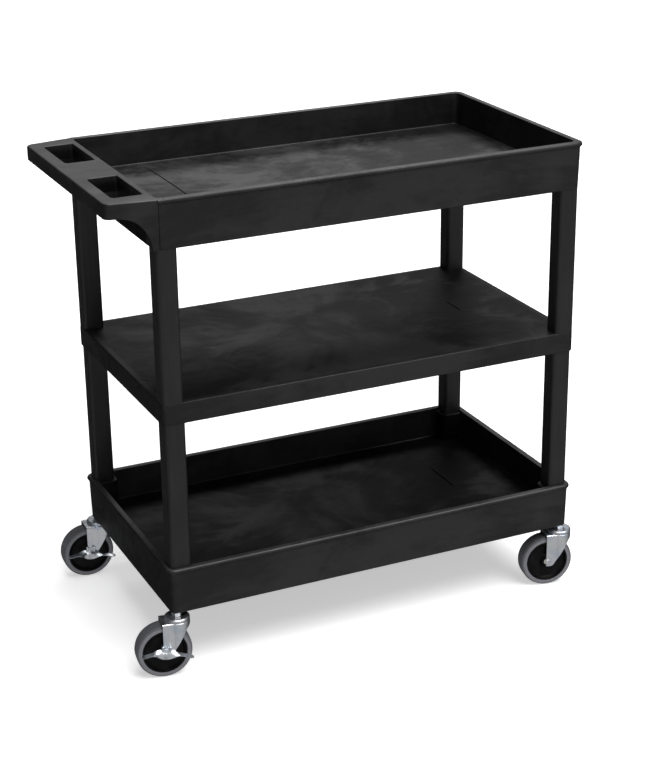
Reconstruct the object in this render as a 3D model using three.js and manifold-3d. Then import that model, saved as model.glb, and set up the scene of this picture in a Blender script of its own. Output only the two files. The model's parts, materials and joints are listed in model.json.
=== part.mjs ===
// Rolling utility cart: a flat shelf between two tub shelves, eight legs, a push handle moulded into
// the top tub, and four swivel stem casters, two of them with a wing brake. Millimetres, +Z up.
import * as THREE from 'three';
import { mergeVertices } from 'three/addons/utils/BufferGeometryUtils.js';
import Module from 'manifold-3d';

const wasm = await Module();
wasm.setup();

// ---- shelves ----
const shelfLength = 813;
const shelfWidth = 457;
const shelfCorner = 12;
const tubHeight = 87;
const flatShelfThickness = 38.5;
const bayHeight = 272.75;
const tubWall = 10;
const tubDraft = 2;
const floorHeight = 25;
const floorThickness = 7;
const beadReach = 3.5;
const beadHeight = 9;
const beadSteps = 4;
const skirtWall = 8;
const ribWall = 4;
const ribColumns = 4;
const ribRows = 5;
const cornerBlock = 50;

// ---- legs ----
const legWidth = 38.5;
const legDepth = 35;
const legWall = 4;
const legCorner = 6;
const legOuterCorner = 9;
const upperLegInset = 1;
const lowerLegInset = 3;
const pocketDepth = 12;
const sleeveWall = 6;
const sleeveBelowRim = 5;
const fitGap = 0.3;

// ---- handle ----
const handleReach = 80;
const handleTaper = 13;
const handleCorner = 13;
const handleBarDepth = 24.5;
const handleBarHeight = 27.5;
const handleInset = 0.5;
const handHoleInner = 57;
const handHoleOuter = 188;
const handHoleCorner = 8;
const gussetWall = 8;
const gussetFoot = 3.5;

// ---- casters ----
const stemInsetX = 11.5;
const stemInsetY = 10.5;
const stemRadius = 5.5;
const stemLength = 34;
const socketWall = 1.7;
const socketLength = 36;
const kingpinRadius = 5;
const rivetRadius = 8.5;
const rivetHeight = 3;
const collarRadius = 9.5;
const collarHeight = 7;
const wheelRadius = 51;
const wheelWidth = 32;
const tyreThickness = 10;
const tyreShoulder = 5;
const hubRecess = 2.5;
const hubLip = 3;
const hubBossRadius = 11;
const bushRadius = 6.5;
const trail = 27;
const axleRadius = 4;
const runningGap = 0.08;
const sideGap = 1.5;
const sheet = 2.5;
const wheelToCrown = 2.8;
const crownRadius = 23;
const crownRear = 30;
const crownSkirt = 7;
const forkFootRadius = 9;
const ballPitchRadius = 17;
const ballRadius = 1.8;
const capRadius = 23;
const capSheet = 2.4;
const capShoulder = 3;
const boltHeadRadius = 6.5;
const boltHeadHeight = 3;
const nutRadius = 7.5;
const nutHeight = 6;

// ---- wing brake ----
const leverHalfSpan = 47;
const leverSheet = 2;
const leverTilt = 8.5; // degrees that the lever stands from level with the brake off
const leverHalfHeight = 10;
const wingHalfHeight = 3;
const wingSweep = 14;
const camThickness = 3.2;
const camRadius = 8;
const camRise = 13;

// Each corner: name, side along X, side along Y, heading of the swivel in radians, brake fitted.
const corners = [
  { name: 'front_left', sx: -1, sy: -1, heading: -0.149, brake: true },
  { name: 'back_left', sx: -1, sy: 1, heading: -0.043, brake: true },
  { name: 'front_right', sx: 1, sy: -1, heading: -0.208, brake: false },
  { name: 'back_right', sx: 1, sy: 1, heading: -0.12, brake: false },
];

// ---- heights worked out from the sizes above ----
const crownBottom = 2 * wheelRadius + wheelToCrown;
const crownTop = crownBottom + sheet;
const capBottom = crownTop + 2 * fitGap;
const capCeiling = crownTop + 2 * ballRadius + 2 * fitGap;
const capTop = capCeiling + capSheet;
const collarBottom = capTop + fitGap;
const collarTop = collarBottom + collarHeight;
const bottomTubBase = collarTop + fitGap;
const bottomTubRim = bottomTubBase + tubHeight;
const flatShelfBase = bottomTubRim + bayHeight;
const flatShelfTop = flatShelfBase + flatShelfThickness;
const topTubBase = flatShelfTop + bayHeight;
const topTubRim = topTubBase + tubHeight;
const socketTop = bottomTubBase + socketLength;
const lowerLegFoot = socketTop + 2 * fitGap + ribWall;

// ---- materials ----
const finish = (color, roughness, metalness) => ({ color, roughness, metalness });
const shelfPlastic = finish(0x2a2a2b, 0.62, 0);
const legPlastic = finish(0x323233, 0.55, 0);
const zinc = finish(0xc9ced3, 0.3, 0.9);
const tyreGrey = finish(0x6e6f72, 0.7, 0);
const hubPlastic = finish(0x141416, 0.5, 0);
const nylon = finish(0xd8d6cf, 0.5, 0);
const bearingSteel = finish(0x9a9da1, 0.25, 1);

// ---- geometry helpers ----
const ARC_STEPS = 2;
const ROUND_SIDES = 20;
const TREAD_SIDES = 32;
const GUSSET_STEPS = 6;
const BALL_SIDES = 6;

function named(name, geometry, look) {
  const mesh = new THREE.Mesh(geometry, new THREE.MeshStandardMaterial(look));
  mesh.name = name;
  return mesh;
}

function toSolid(geometry) {
  const bare = geometry.clone();
  bare.deleteAttribute('normal');
  bare.deleteAttribute('uv');
  const merged = mergeVertices(bare, 1e-4);
  return new wasm.Manifold(new wasm.Mesh({
    numProp: 3,
    vertProperties: new Float32Array(merged.attributes.position.array),
    triVerts: new Uint32Array(merged.index.array),
  }));
}

function toGeometry(solid) {
  const mesh = solid.getMesh();
  const geometry = new THREE.BufferGeometry();
  geometry.setAttribute('position', new THREE.BufferAttribute(mesh.vertProperties, 3));
  geometry.setIndex(new THREE.BufferAttribute(mesh.triVerts, 1));
  geometry.computeVertexNormals();
  return geometry;
}

// A shape through [x, y, radius] corners, each rounded by an arc that touches both sides.
function filleted(corners) {
  const outline = corners.flatMap(([x, y, radius], i) => {
    const corner = new THREE.Vector2(x, y);
    if (radius === 0) return [corner];
    const before = corners[(i + corners.length - 1) % corners.length];
    const after = corners[(i + 1) % corners.length];
    const back = new THREE.Vector2(before[0], before[1]).sub(corner).normalize();
    const on = new THREE.Vector2(after[0], after[1]).sub(corner).normalize();
    const half = Math.acos(back.dot(on)) / 2;
    const middle = back.clone().add(on).normalize().multiplyScalar(radius / Math.sin(half)).add(corner);
    const start = back.clone().multiplyScalar(radius / Math.tan(half)).add(corner).sub(middle);
    const end = on.clone().multiplyScalar(radius / Math.tan(half)).add(corner).sub(middle);
    const clockwise = back.cross(on) > 0;
    const turn = [start.angle(), end.angle(), clockwise];
    return new THREE.EllipseCurve(middle.x, middle.y, radius, radius, ...turn).getPoints(ARC_STEPS);
  });
  return new THREE.Shape(outline);
}

function rectangle(x0, x1, y0, y1, radius) {
  return filleted([[x0, y0, radius], [x1, y0, radius], [x1, y1, radius], [x0, y1, radius]]);
}

function centredRectangle(length, width, radius) {
  return rectangle(-length / 2, length / 2, -width / 2, width / 2, radius);
}

// A shape in the XY plane, raised from z0 to z1.
function raised(shape, z0, z1, steps = 1) {
  const options = { depth: z1 - z0, bevelEnabled: false, steps };
  return new THREE.ExtrudeGeometry(shape, options).translate(0, 0, z0);
}

// A shape drawn as (x, z) and run along Y from y0 to y1.
function across(shape, y0, y1) {
  const run = new THREE.ExtrudeGeometry(shape, { depth: y1 - y0, bevelEnabled: false });
  return run.rotateX(Math.PI / 2).translate(0, y1, 0);
}

// Moves the four sides of a centred block outwards by an amount that depends on height.
function flared(geometry, outwards) {
  const position = geometry.attributes.position;
  for (let i = 0; i < position.count; i += 1) {
    const reach = outwards(position.getZ(i));
    position.setX(i, position.getX(i) + Math.sign(position.getX(i)) * reach);
    position.setY(i, position.getY(i) + Math.sign(position.getY(i)) * reach);
  }
  return geometry;
}

function box(x0, x1, y0, y1, z0, z1) {
  const geometry = new THREE.BoxGeometry(x1 - x0, y1 - y0, z1 - z0);
  return geometry.translate((x0 + x1) / 2, (y0 + y1) / 2, (z0 + z1) / 2);
}

function cylinder(radius, z0, z1, sides = ROUND_SIDES) {
  const geometry = new THREE.CylinderGeometry(radius, radius, z1 - z0, sides);
  return geometry.rotateX(Math.PI / 2).translate(0, 0, (z0 + z1) / 2);
}

// A solid turned about Z from [radius, height] points.
function turned(profile, sides = ROUND_SIDES) {
  const points = profile.map(([r, z]) => new THREE.Vector2(r, z));
  if (profile[0][0] > 0) points.push(points[0].clone());
  return new THREE.LatheGeometry(points, sides).rotateX(Math.PI / 2);
}

// ---- legs ----
// The outline of one leg, drawn where it stands; grow widens it on every side.
function legOutline({ sx, sy }, inset, grow) {
  const x1 = shelfLength / 2 - inset + grow;
  const x0 = shelfLength / 2 - inset - legWidth - grow;
  const y1 = shelfWidth / 2 - inset + grow;
  const y0 = shelfWidth / 2 - inset - legDepth - grow;
  const inner = Math.max(legCorner + grow, 1);
  const outer = Math.max(legOuterCorner + grow, 1);
  const points = [[x0, y0, inner], [x1, y0, inner], [x1, y1, outer], [x0, y1, inner]];
  return filleted(points.map(([x, y, r]) => [sx * x, sy * y, r]));
}

function leg(corner, inset, z0, z1) {
  const tube = toSolid(raised(legOutline(corner, inset, 0), z0, z1));
  const bore = toSolid(raised(legOutline(corner, inset, -legWall), z0 - 1, z1 + 1));
  return toGeometry(tube.subtract(bore));
}

function legPocket(corner, inset, z0, z1) {
  return toSolid(raised(legOutline(corner, inset, fitGap), z0, z1));
}

// ---- shelves ----
// The hollows between the ribs under a shelf; the corners stay solid to hold the legs.
function ribHollows(base, depth) {
  const innerLength = shelfLength - 2 * skirtWall;
  const innerWidth = shelfWidth - 2 * skirtWall;
  const cellLength = (innerLength - (ribColumns - 1) * ribWall) / ribColumns;
  const cellWidth = (innerWidth - (ribRows - 1) * ribWall) / ribRows;
  const hollows = [];
  for (let column = 0; column < ribColumns; column += 1) {
    for (let row = 0; row < ribRows; row += 1) {
      const besideLeg = row === 0 || row === ribRows - 1;
      let x0 = -innerLength / 2 + column * (cellLength + ribWall);
      let x1 = x0 + cellLength;
      if (besideLeg && column === 0) x0 += cornerBlock;
      if (besideLeg && column === ribColumns - 1) x1 -= cornerBlock;
      const y = -innerWidth / 2 + row * (cellWidth + ribWall);
      hollows.push(toSolid(box(x0, x1, y, y + cellWidth, base - 1, base + depth)));
    }
  }
  return hollows;
}

function cut(solid, cutters) {
  return cutters.reduce((rest, cutter) => rest.subtract(cutter), solid);
}

function tubBlock(base) {
  const widen = (z) => tubDraft * (z - base) / tubHeight;
  const outline = centredRectangle(shelfLength, shelfWidth, shelfCorner);
  return toSolid(flared(raised(outline, base, base + tubHeight), widen));
}

function rimBead(base, leaveHandleEnd) {
  const inside = 1;
  const length = shelfLength + 2 * (tubDraft - inside);
  const width = shelfWidth + 2 * (tubDraft - inside);
  const z1 = base + tubHeight;
  const z0 = z1 - beadHeight;
  const round = (z) => {
    const t = 2 * (z - z0) / beadHeight - 1;
    return (inside + beadReach) * Math.sqrt(Math.max(0, 1 - t * t));
  };
  const outline = centredRectangle(length, width, shelfCorner);
  const bead = toSolid(flared(raised(outline, z0, z1, beadSteps), round));
  if (!leaveHandleEnd) return bead;
  const end = -shelfLength / 2 + shelfCorner;
  return bead.subtract(toSolid(box(-shelfLength, end, -shelfWidth, shelfWidth, z0 - 1, z1 + 1)));
}

function tubCavity(base) {
  const z0 = base + floorHeight;
  const z1 = base + tubHeight + 1;
  const widen = (z) => tubDraft * (z - base) / tubHeight;
  const outline = centredRectangle(shelfLength - 2 * tubWall, shelfWidth - 2 * tubWall, shelfCorner);
  return toSolid(flared(raised(outline, z0, z1), widen));
}

function tub(base, leaveHandleEnd) {
  const block = tubBlock(base).add(rimBead(base, leaveHandleEnd)).subtract(tubCavity(base));
  return cut(block, ribHollows(base, floorHeight - floorThickness));
}

function bottomTub() {
  const base = bottomTubBase;
  const shell = tubBlock(base);
  let solid = tub(base, false);
  for (const corner of corners) {
    const outline = legOutline(corner, lowerLegInset, sleeveWall);
    const sleeve = toSolid(raised(outline, base + 1, bottomTubRim - sleeveBelowRim));
    solid = solid.add(sleeve.intersect(shell));
  }
  for (const corner of corners) {
    const { x, y } = stemPlace(corner);
    const hole = cylinder(stemRadius + socketWall + 2 * fitGap, base - 1, socketTop + fitGap);
    solid = solid.subtract(legPocket(corner, lowerLegInset, lowerLegFoot - fitGap, bottomTubRim + 1));
    solid = solid.subtract(toSolid(hole.translate(x, y, 0)));
  }
  return toGeometry(solid);
}

function flatShelf() {
  const outline = centredRectangle(shelfLength, shelfWidth, shelfCorner);
  let solid = toSolid(raised(outline, flatShelfBase, flatShelfTop));
  solid = cut(solid, ribHollows(flatShelfBase, flatShelfThickness - floorThickness));
  for (const corner of corners) {
    const above = legPocket(corner, upperLegInset, flatShelfTop - pocketDepth, flatShelfTop + 1);
    const below = legPocket(corner, lowerLegInset, flatShelfBase - 1, flatShelfBase + pocketDepth);
    solid = cut(solid, [above, below]);
  }
  return toGeometry(solid);
}

// The push handle: a tapering frame level with the rim, two hand holes, and a curved gusset each side.
function handle() {
  const root = -shelfLength / 2 + tubWall - tubDraft;
  const tip = -shelfLength / 2 - handleReach;
  const wide = shelfWidth / 2 + tubDraft - handleInset;
  const narrow = wide - handleTaper;
  const z1 = topTubRim;
  const z0 = z1 - handleBarHeight;
  const plan = (inwards, corner) => filleted([
    [root, -wide + inwards, 0], [tip, -narrow + inwards, corner],
    [tip, narrow - inwards, corner], [root, wide - inwards, 0],
  ]);
  let frame = toSolid(raised(plan(0, handleCorner), z0, z1));
  const holeX0 = tip + handleBarDepth;
  const holeX1 = -shelfLength / 2;
  for (const [y0, y1] of [[-handHoleOuter, -handHoleInner], [handHoleInner, handHoleOuter]]) {
    const hole = rectangle(holeX0, holeX1, y0, y1, handHoleCorner);
    frame = frame.subtract(toSolid(raised(hole, z0 - 1, z1 + 1)));
  }
  const lap = 1;
  const foot = holeX1 - gussetFoot;
  const curve = new THREE.EllipseCurve(holeX0, topTubBase, foot - holeX0, z0 - topTubBase, 0, Math.PI / 2);
  const below = curve.getPoints(GUSSET_STEPS);
  const web = new THREE.Shape([
    new THREE.Vector2(holeX0, z0 + lap), new THREE.Vector2(root, z0 + lap), new THREE.Vector2(root, topTubBase),
    ...below,
  ]);
  const walls = toSolid(across(web, -wide, wide));
  const outside = toSolid(raised(plan(0, handleCorner), topTubBase, z1));
  const channel = toSolid(raised(plan(gussetWall, 0), topTubBase - lap, z0 + 2 * lap));
  return frame.add(walls.intersect(outside).subtract(channel));
}

function topTub() {
  let solid = tub(topTubBase, true).add(handle().subtract(tubCavity(topTubBase)));
  for (const corner of corners) {
    solid = solid.subtract(legPocket(corner, upperLegInset, topTubBase - 1, topTubBase + pocketDepth));
  }
  return toGeometry(solid);
}

// ---- casters ----
function stemPlace({ sx, sy }) {
  return { x: sx * (shelfLength / 2 - stemInsetX), y: sy * (shelfWidth / 2 - stemInsetY) };
}

function stem() {
  return turned([
    [0, crownBottom - fitGap - rivetHeight],
    [rivetRadius, crownBottom - fitGap - rivetHeight],
    [rivetRadius, crownBottom - fitGap],
    [kingpinRadius, crownBottom - fitGap],
    [kingpinRadius, collarBottom],
    [collarRadius, collarBottom],
    [collarRadius, collarTop],
    [stemRadius, collarTop],
    [stemRadius, collarTop + stemLength],
    [0, collarTop + stemLength],
  ]);
}

function stemSocket() {
  const inner = stemRadius + fitGap;
  const outer = inner + socketWall;
  return turned([
    [inner, bottomTubBase], [outer, bottomTubBase], [outer, socketTop], [inner, socketTop],
  ]);
}

// The fixed upper race: a cap on the stem, with a skirt round the balls.
function raceCap() {
  const hole = kingpinRadius + fitGap;
  const skirt = ballPitchRadius + ballRadius + 2 * fitGap;
  return turned([
    [hole, capCeiling],
    [skirt, capCeiling],
    [skirt, capBottom],
    [capRadius, capBottom],
    [capRadius, capCeiling - fitGap],
    [capRadius - capShoulder, capTop],
    [hole, capTop],
  ]);
}

function ballRing() {
  const ring = new THREE.TorusGeometry(ballPitchRadius, ballRadius, BALL_SIDES, ROUND_SIDES);
  return ring.translate(0, 0, crownTop + fitGap + ballRadius);
}

// The fork: a pressed cup over the wheel with a flat leg down each side to the axle.
function fork() {
  const inner = wheelWidth / 2 + sideGap;
  const outer = inner + sheet;
  const foot = wheelRadius - forkFootRadius;
  const crown = (half, radius, rear, z0, z1) => {
    const bar = toSolid(box(-rear, 0, -half, half, z0, z1));
    return bar.add(toSolid(cylinder(radius, z0, z1)));
  };
  const cup = crown(outer, crownRadius, crownRear, foot - 1, crownTop);
  const mouth = crown(inner, crownRadius - sheet, 2 * crownRear, foot - 2, crownBottom);
  const side = filleted([
    [-crownRear, crownTop, 0],
    [-trail - forkFootRadius, foot, forkFootRadius - 0.5],
    [-trail + forkFootRadius + 1, foot, forkFootRadius - 0.5],
    [crownRadius - 9, crownTop - 2 * crownSkirt, 0],
    [crownRadius + 1, crownTop - crownSkirt, 0],
    [crownRadius + 1, crownTop, 0],
  ]);
  const profile = toSolid(across(side, -2 * crownRadius, 2 * crownRadius));
  const axleHole = cylinder(axleRadius + fitGap, -2 * outer, 2 * outer);
  axleHole.rotateX(Math.PI / 2).translate(-trail, 0, wheelRadius);
  const pinHole = cylinder(kingpinRadius + runningGap, crownBottom - 1, crownTop + 1);
  return toGeometry(cut(cup.subtract(mouth).intersect(profile), [toSolid(axleHole), toSolid(pinHole)]));
}

// Turns a solid of revolution about Z so that its axis is the axle.
function onAxle(geometry) {
  return geometry.rotateX(Math.PI / 2).translate(-trail, 0, wheelRadius);
}

// The tread is faceted, and half a facet's turn stands it on a flat.
function tyre() {
  const half = wheelWidth / 2;
  const bore = wheelRadius - tyreThickness;
  const side = wheelRadius - tyreShoulder;
  const ring = turned([
    [bore, -half + 1], [bore + 1, -half], [side, -half], [wheelRadius, -half + tyreShoulder + 2],
    [wheelRadius, half - tyreShoulder - 2], [side, half], [bore + 1, half], [bore, half - 1],
  ], TREAD_SIDES);
  return onAxle(ring.rotateZ(Math.PI / TREAD_SIDES));
}

// The hub fits inside the flats of the tyre's bore.
function hub() {
  const half = wheelWidth / 2;
  const rim = (wheelRadius - tyreThickness) * Math.cos(Math.PI / TREAD_SIDES) - fitGap;
  const bore = bushRadius + fitGap;
  const face = half - hubRecess;
  const boss = half + sideGap - 2 * fitGap;
  return onAxle(turned([
    [bore, -boss], [hubBossRadius, -boss], [hubBossRadius, -face], [rim - hubLip, -face],
    [rim, -half + 1], [rim, half - 1], [rim - hubLip, face], [hubBossRadius, face],
    [hubBossRadius, boss], [bore, boss],
  ]));
}

function bush() {
  const half = wheelWidth / 2 + sideGap - fitGap;
  const bore = axleRadius + runningGap;
  return onAxle(turned([[bore, -half], [bushRadius, -half], [bushRadius, half], [bore, half]]));
}

// The bolt's head faces the front of the caster; on a brake caster it also holds the lever.
function axleBolt(headSeat, nutEnd) {
  return onAxle(turned([
    [0, -nutEnd],
    [axleRadius, -nutEnd],
    [axleRadius, headSeat],
    [boltHeadRadius, headSeat],
    [boltHeadRadius, headSeat + boltHeadHeight / 2],
    [boltHeadRadius - 1.5, headSeat + boltHeadHeight],
    [0, headSeat + boltHeadHeight],
  ]));
}

function axleNut(seat) {
  const nut = toSolid(cylinder(nutRadius, -seat - nutHeight, -seat, 6));
  const thread = toSolid(cylinder(axleRadius + fitGap, -seat - nutHeight - 1, -seat + 1));
  return onAxle(toGeometry(nut.subtract(thread)));
}

// Tilts a brake piece about the axle and moves it there.
function tilted(geometry) {
  return geometry.rotateY(THREE.MathUtils.degToRad(leverTilt)).translate(-trail, 0, wheelRadius);
}

// The wing brake's lever: a bent strip with a deep middle and two narrow wings.
function brakeLever(seat) {
  const strip = [];
  const wing = (t) => -seat - wingSweep * t * t;
  const steps = 6;
  const flat = camRadius;
  for (let i = -steps; i <= steps; i += 1) {
    const t = Math.max(0, (Math.abs(i) / steps * leverHalfSpan - flat) / (leverHalfSpan - flat));
    strip.push([i / steps * leverHalfSpan, wing(t)]);
  }
  const front = strip.map(([x, y]) => [x, y - leverSheet]);
  const plan = new THREE.Shape([...front, ...[...strip].reverse()].map(([x, y]) => new THREE.Vector2(x, y)));
  const bent = toSolid(raised(plan, -2 * leverHalfHeight, 2 * leverHalfHeight));
  const shoulder = 0.55 * leverHalfSpan;
  const face = filleted([
    [-leverHalfSpan, -wingHalfHeight, 2], [-shoulder, -wingHalfHeight, 6], [0, -leverHalfHeight, 2],
    [shoulder, -wingHalfHeight, 6], [leverHalfSpan, -wingHalfHeight, 2],
    [leverHalfSpan, wingHalfHeight, 2], [shoulder, wingHalfHeight, 6], [0, leverHalfHeight, 2],
    [-shoulder, wingHalfHeight, 6], [-leverHalfSpan, wingHalfHeight, 2],
  ]);
  const outline = toSolid(across(face, -4 * leverHalfSpan, 0));
  const hole = cylinder(axleRadius + runningGap, -100, 100).rotateX(Math.PI / 2);
  const lever = bent.intersect(outline).subtract(toSolid(hole));
  return tilted(toGeometry(lever));
}

// The cam between the fork and the lever, which grips the wheel when the lever is pressed.
function brakeCam(seat) {
  const face = filleted([
    [-camRadius, -camRadius, 4], [camRadius, -camRadius, 4],
    [camRadius, camRise, 2], [-camRadius, camRise, 2],
  ]);
  const plate = toSolid(across(face, -seat - camThickness, -seat));
  const hole = cylinder(axleRadius + runningGap, -100, 100).rotateX(Math.PI / 2);
  return tilted(toGeometry(plate.subtract(toSolid(hole))));
}

function caster({ name, brake }) {
  const group = new THREE.Group();
  const forkFace = wheelWidth / 2 + sideGap + sheet + fitGap;
  const leverSeat = forkFace + camThickness + fitGap;
  const headSeat = brake ? leverSeat + leverSheet + fitGap : forkFace;
  const nutEnd = forkFace + nutHeight + 1;
  group.add(named(`fork_${name}`, fork(), zinc));
  group.add(named(`ball_ring_${name}`, ballRing(), bearingSteel));
  group.add(named(`axle_bolt_${name}`, axleBolt(headSeat, nutEnd), zinc));
  group.add(named(`axle_nut_${name}`, axleNut(forkFace), zinc));
  group.add(named(`tyre_${name}`, tyre(), tyreGrey));
  group.add(named(`wheel_hub_${name}`, hub(), hubPlastic));
  group.add(named(`wheel_bush_${name}`, bush(), nylon));
  if (brake) {
    group.add(named(`brake_lever_${name}`, brakeLever(leverSeat), zinc));
    group.add(named(`brake_cam_${name}`, brakeCam(forkFace), zinc));
  }
  return group;
}

// ---- assembly ----
const cart = new THREE.Group();
cart.add(named('top_tub', topTub(), shelfPlastic));
cart.add(named('middle_shelf', flatShelf(), shelfPlastic));
cart.add(named('bottom_tub', bottomTub(), shelfPlastic));
for (const corner of corners) {
  const upperFoot = flatShelfTop - pocketDepth + fitGap;
  const upperHead = topTubBase + pocketDepth - fitGap;
  const lowerHead = flatShelfBase + pocketDepth - fitGap;
  const upperLeg = leg(corner, upperLegInset, upperFoot, upperHead);
  const lowerLeg = leg(corner, lowerLegInset, lowerLegFoot, lowerHead);
  cart.add(named(`upper_leg_${corner.name}`, upperLeg, legPlastic));
  cart.add(named(`lower_leg_${corner.name}`, lowerLeg, legPlastic));
  const { x, y } = stemPlace(corner);
  cart.add(named(`caster_stem_${corner.name}`, stem().translate(x, y, 0), zinc));
  cart.add(named(`stem_socket_${corner.name}`, stemSocket().translate(x, y, 0), zinc));
  cart.add(named(`race_cap_${corner.name}`, raceCap().translate(x, y, 0), zinc));
  const swivel = caster(corner);
  swivel.position.set(x, y, 0);
  swivel.rotation.z = corner.heading;
  cart.add(swivel);
}

// The origin is the middle of the whole cart's bounding box, on the floor.
cart.updateMatrixWorld(true);
const extent = new THREE.Box3().setFromObject(cart);
const middle = extent.getCenter(new THREE.Vector3());
cart.position.set(-middle.x, -middle.y, -extent.min.z);
const group = new THREE.Group();
group.add(cart);

export default group;
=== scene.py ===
import json
import math

import bmesh
import bpy
from mathutils import Matrix, Vector


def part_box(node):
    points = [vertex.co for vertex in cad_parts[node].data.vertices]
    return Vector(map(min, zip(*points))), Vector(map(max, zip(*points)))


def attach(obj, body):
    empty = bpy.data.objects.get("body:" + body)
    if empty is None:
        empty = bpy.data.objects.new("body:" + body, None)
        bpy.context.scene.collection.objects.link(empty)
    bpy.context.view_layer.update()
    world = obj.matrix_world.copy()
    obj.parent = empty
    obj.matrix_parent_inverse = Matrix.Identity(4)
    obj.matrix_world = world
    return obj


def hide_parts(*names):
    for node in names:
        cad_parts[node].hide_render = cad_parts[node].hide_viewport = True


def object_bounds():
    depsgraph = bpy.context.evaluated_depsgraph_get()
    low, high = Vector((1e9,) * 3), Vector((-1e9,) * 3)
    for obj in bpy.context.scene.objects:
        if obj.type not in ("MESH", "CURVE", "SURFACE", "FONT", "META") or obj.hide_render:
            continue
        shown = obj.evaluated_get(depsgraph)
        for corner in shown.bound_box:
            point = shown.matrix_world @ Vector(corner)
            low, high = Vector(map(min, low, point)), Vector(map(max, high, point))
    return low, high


bl_info = {
    "name": "Rolling Utility Cart",
    "version": (1, 0, 0),
    "blender": (4, 5, 0),
    "location": "View3D > Sidebar > Cart",
    "description": "Builds the finished pieces of a two-tub utility cart round its packed frame",
    "category": "Add Mesh",
}

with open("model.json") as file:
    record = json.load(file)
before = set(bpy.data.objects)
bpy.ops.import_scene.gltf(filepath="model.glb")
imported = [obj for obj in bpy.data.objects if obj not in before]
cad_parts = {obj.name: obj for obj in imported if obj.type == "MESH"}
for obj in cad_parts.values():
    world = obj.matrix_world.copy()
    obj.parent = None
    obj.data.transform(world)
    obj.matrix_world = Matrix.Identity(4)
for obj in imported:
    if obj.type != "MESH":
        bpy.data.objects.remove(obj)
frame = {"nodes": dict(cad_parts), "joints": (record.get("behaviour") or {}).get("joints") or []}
CAD_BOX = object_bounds()

# Each corner of the cart and its side along X and Y.
CORNERS = {"front_left": (-1, -1), "back_left": (-1, 1), "front_right": (1, -1), "back_right": (1, 1)}
JOINTS = {joint["name"]: joint for joint in frame["joints"]}
BRAKED = [corner for corner in CORNERS if f"brake_{corner}" in JOINTS]

# The plan that all three shelves share comes from the flat shelf, which has no rim.
SHELF_LOW, SHELF_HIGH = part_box("middle_shelf")
PLAN_CENTRE = (SHELF_LOW + SHELF_HIGH) / 2
HALF_LENGTH = (SHELF_HIGH.x - SHELF_LOW.x) / 2
HALF_WIDTH = (SHELF_HIGH.y - SHELF_LOW.y) / 2
BIG_ARC, SMALL_ARC, ROUND, WHEEL_ROUND = 10, 4, 48, 128
AXLE_HEIGHT = JOINTS["wheel_spin_front_left"]["pos_m"][2]
OVERRUN = 0.001                        # how far a cutter runs past the face that it opens
THROUGH, THROUGH_BRAKE = 0.05, 0.06    # half lengths of the cutters along an axle
PIN_FIT = 0.0001                       # room round a pin in a pressed piece
HEX_CHAMFER = 0.0009                   # chamfer on hexagon nuts and collars
PLAIN_HEAD = (0.0056, 0.0014)          # radius and height of a plain caster's bolt head
BRAKED_HEAD = (0.0034, 0.0006)         # the same where the brake lever sits under it


# ---------------------------------------------------------------- sizes and finishes
def length(name, description, default, low=0.0, high=1.0):
    return bpy.props.FloatProperty(
        name=name, description=description, default=default, min=low, max=high, unit="LENGTH", precision=5
    )


def colour(name, description, default):
    return bpy.props.FloatVectorProperty(
        name=name, description=description, default=default, subtype="COLOR", size=3, min=0, max=1
    )


def share(name, description, default):
    return bpy.props.FloatProperty(
        name=name, description=description, default=default, min=0, max=1, subtype="FACTOR"
    )


def angle(name, description, degrees):
    return bpy.props.FloatProperty(
        name=name, description=description, default=math.radians(degrees), subtype="ANGLE"
    )


def count(name, description, default, low=1):
    return bpy.props.IntProperty(name=name, description=description, default=default, min=low)


def strength(name, description, default):
    return bpy.props.FloatProperty(name=name, description=description, default=default)


class CartShelfSizes(bpy.types.PropertyGroup):
    corner: length("Corner radius", "Radius of a shelf's upright corners in plan", 0.012)
    draft: length("Draft", "How far a tub's wall leans out from base to rim", 0.002)
    wall: length("Tub wall", "Thickness of a tub's side wall", 0.010)
    floor_height: length("Floor height", "Height of a tub's floor over its base", 0.025)
    floor_thickness: length("Floor thickness", "Thickness of a floor over the ribs", 0.007)
    floor_fillet: length("Floor fillet", "Radius where a tub's wall meets its floor", 0.0025)
    edge: length("Edge radius", "Radius of the moulded edges", 0.0016)
    bead_reach: length("Bead reach", "How far the rim bead stands out from the wall", 0.0035)
    bead_height: length("Bead height", "Height of the rim bead", 0.009)
    skirt: length("Skirt", "Thickness of the skirt round a shelf's underside", 0.008)
    rib: length("Rib", "Thickness of the ribs under a shelf", 0.004)
    columns: count("Rib columns", "Hollows along a shelf", 4)
    rows: count("Rib rows", "Hollows across a shelf", 5)
    corner_block: length("Corner block", "Solid length left at each corner to hold a leg", 0.050)
    sleeve: length("Sleeve wall", "Wall round a leg's foot in the lower tub", 0.006)
    sleeve_drop: length("Sleeve drop", "How far a sleeve ends below the rim", 0.005)
    fit: length("Fit", "Gap round a leg in its pocket", 0.0003)


class CartHandleSizes(bpy.types.PropertyGroup):
    bar_depth: length("Bar depth", "Depth of the grip bar", 0.0245)
    bar_height: length("Bar height", "Height of the grip bar", 0.0275)
    taper: length("Taper", "How much narrower each side is at the tip", 0.013)
    corner: length("Corner radius", "Radius of the two outer corners in plan", 0.013)
    edge: length("Edge radius", "Radius of the grip's long edges", 0.0032)
    hole_edge: length("Hole edge", "Radius round the rim of a hand hole", 0.0012)
    proud: length("Proud", "How far the handle's sides stand out from the tub's rim", 0.0004)
    # Painted shade: the share of the plastic's colour left deep down in a hand hole.
    pit: share("Pit", "How dark a hand hole's depths are beside the rest", 0.3)
    hole_inner: length("Hole inner end", "Hand hole's end near the middle", 0.057)
    hole_outer: length("Hole outer end", "Hand hole's end near the side", 0.188)
    hole_corner: length("Hole corner", "Corner radius of a hand hole", 0.008)
    gusset_wall: length("Gusset wall", "Thickness of the curved gusset on each side", 0.008)
    gusset_foot: length("Gusset foot", "Depth of the gusset where it meets the tub's base", 0.0035)


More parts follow.
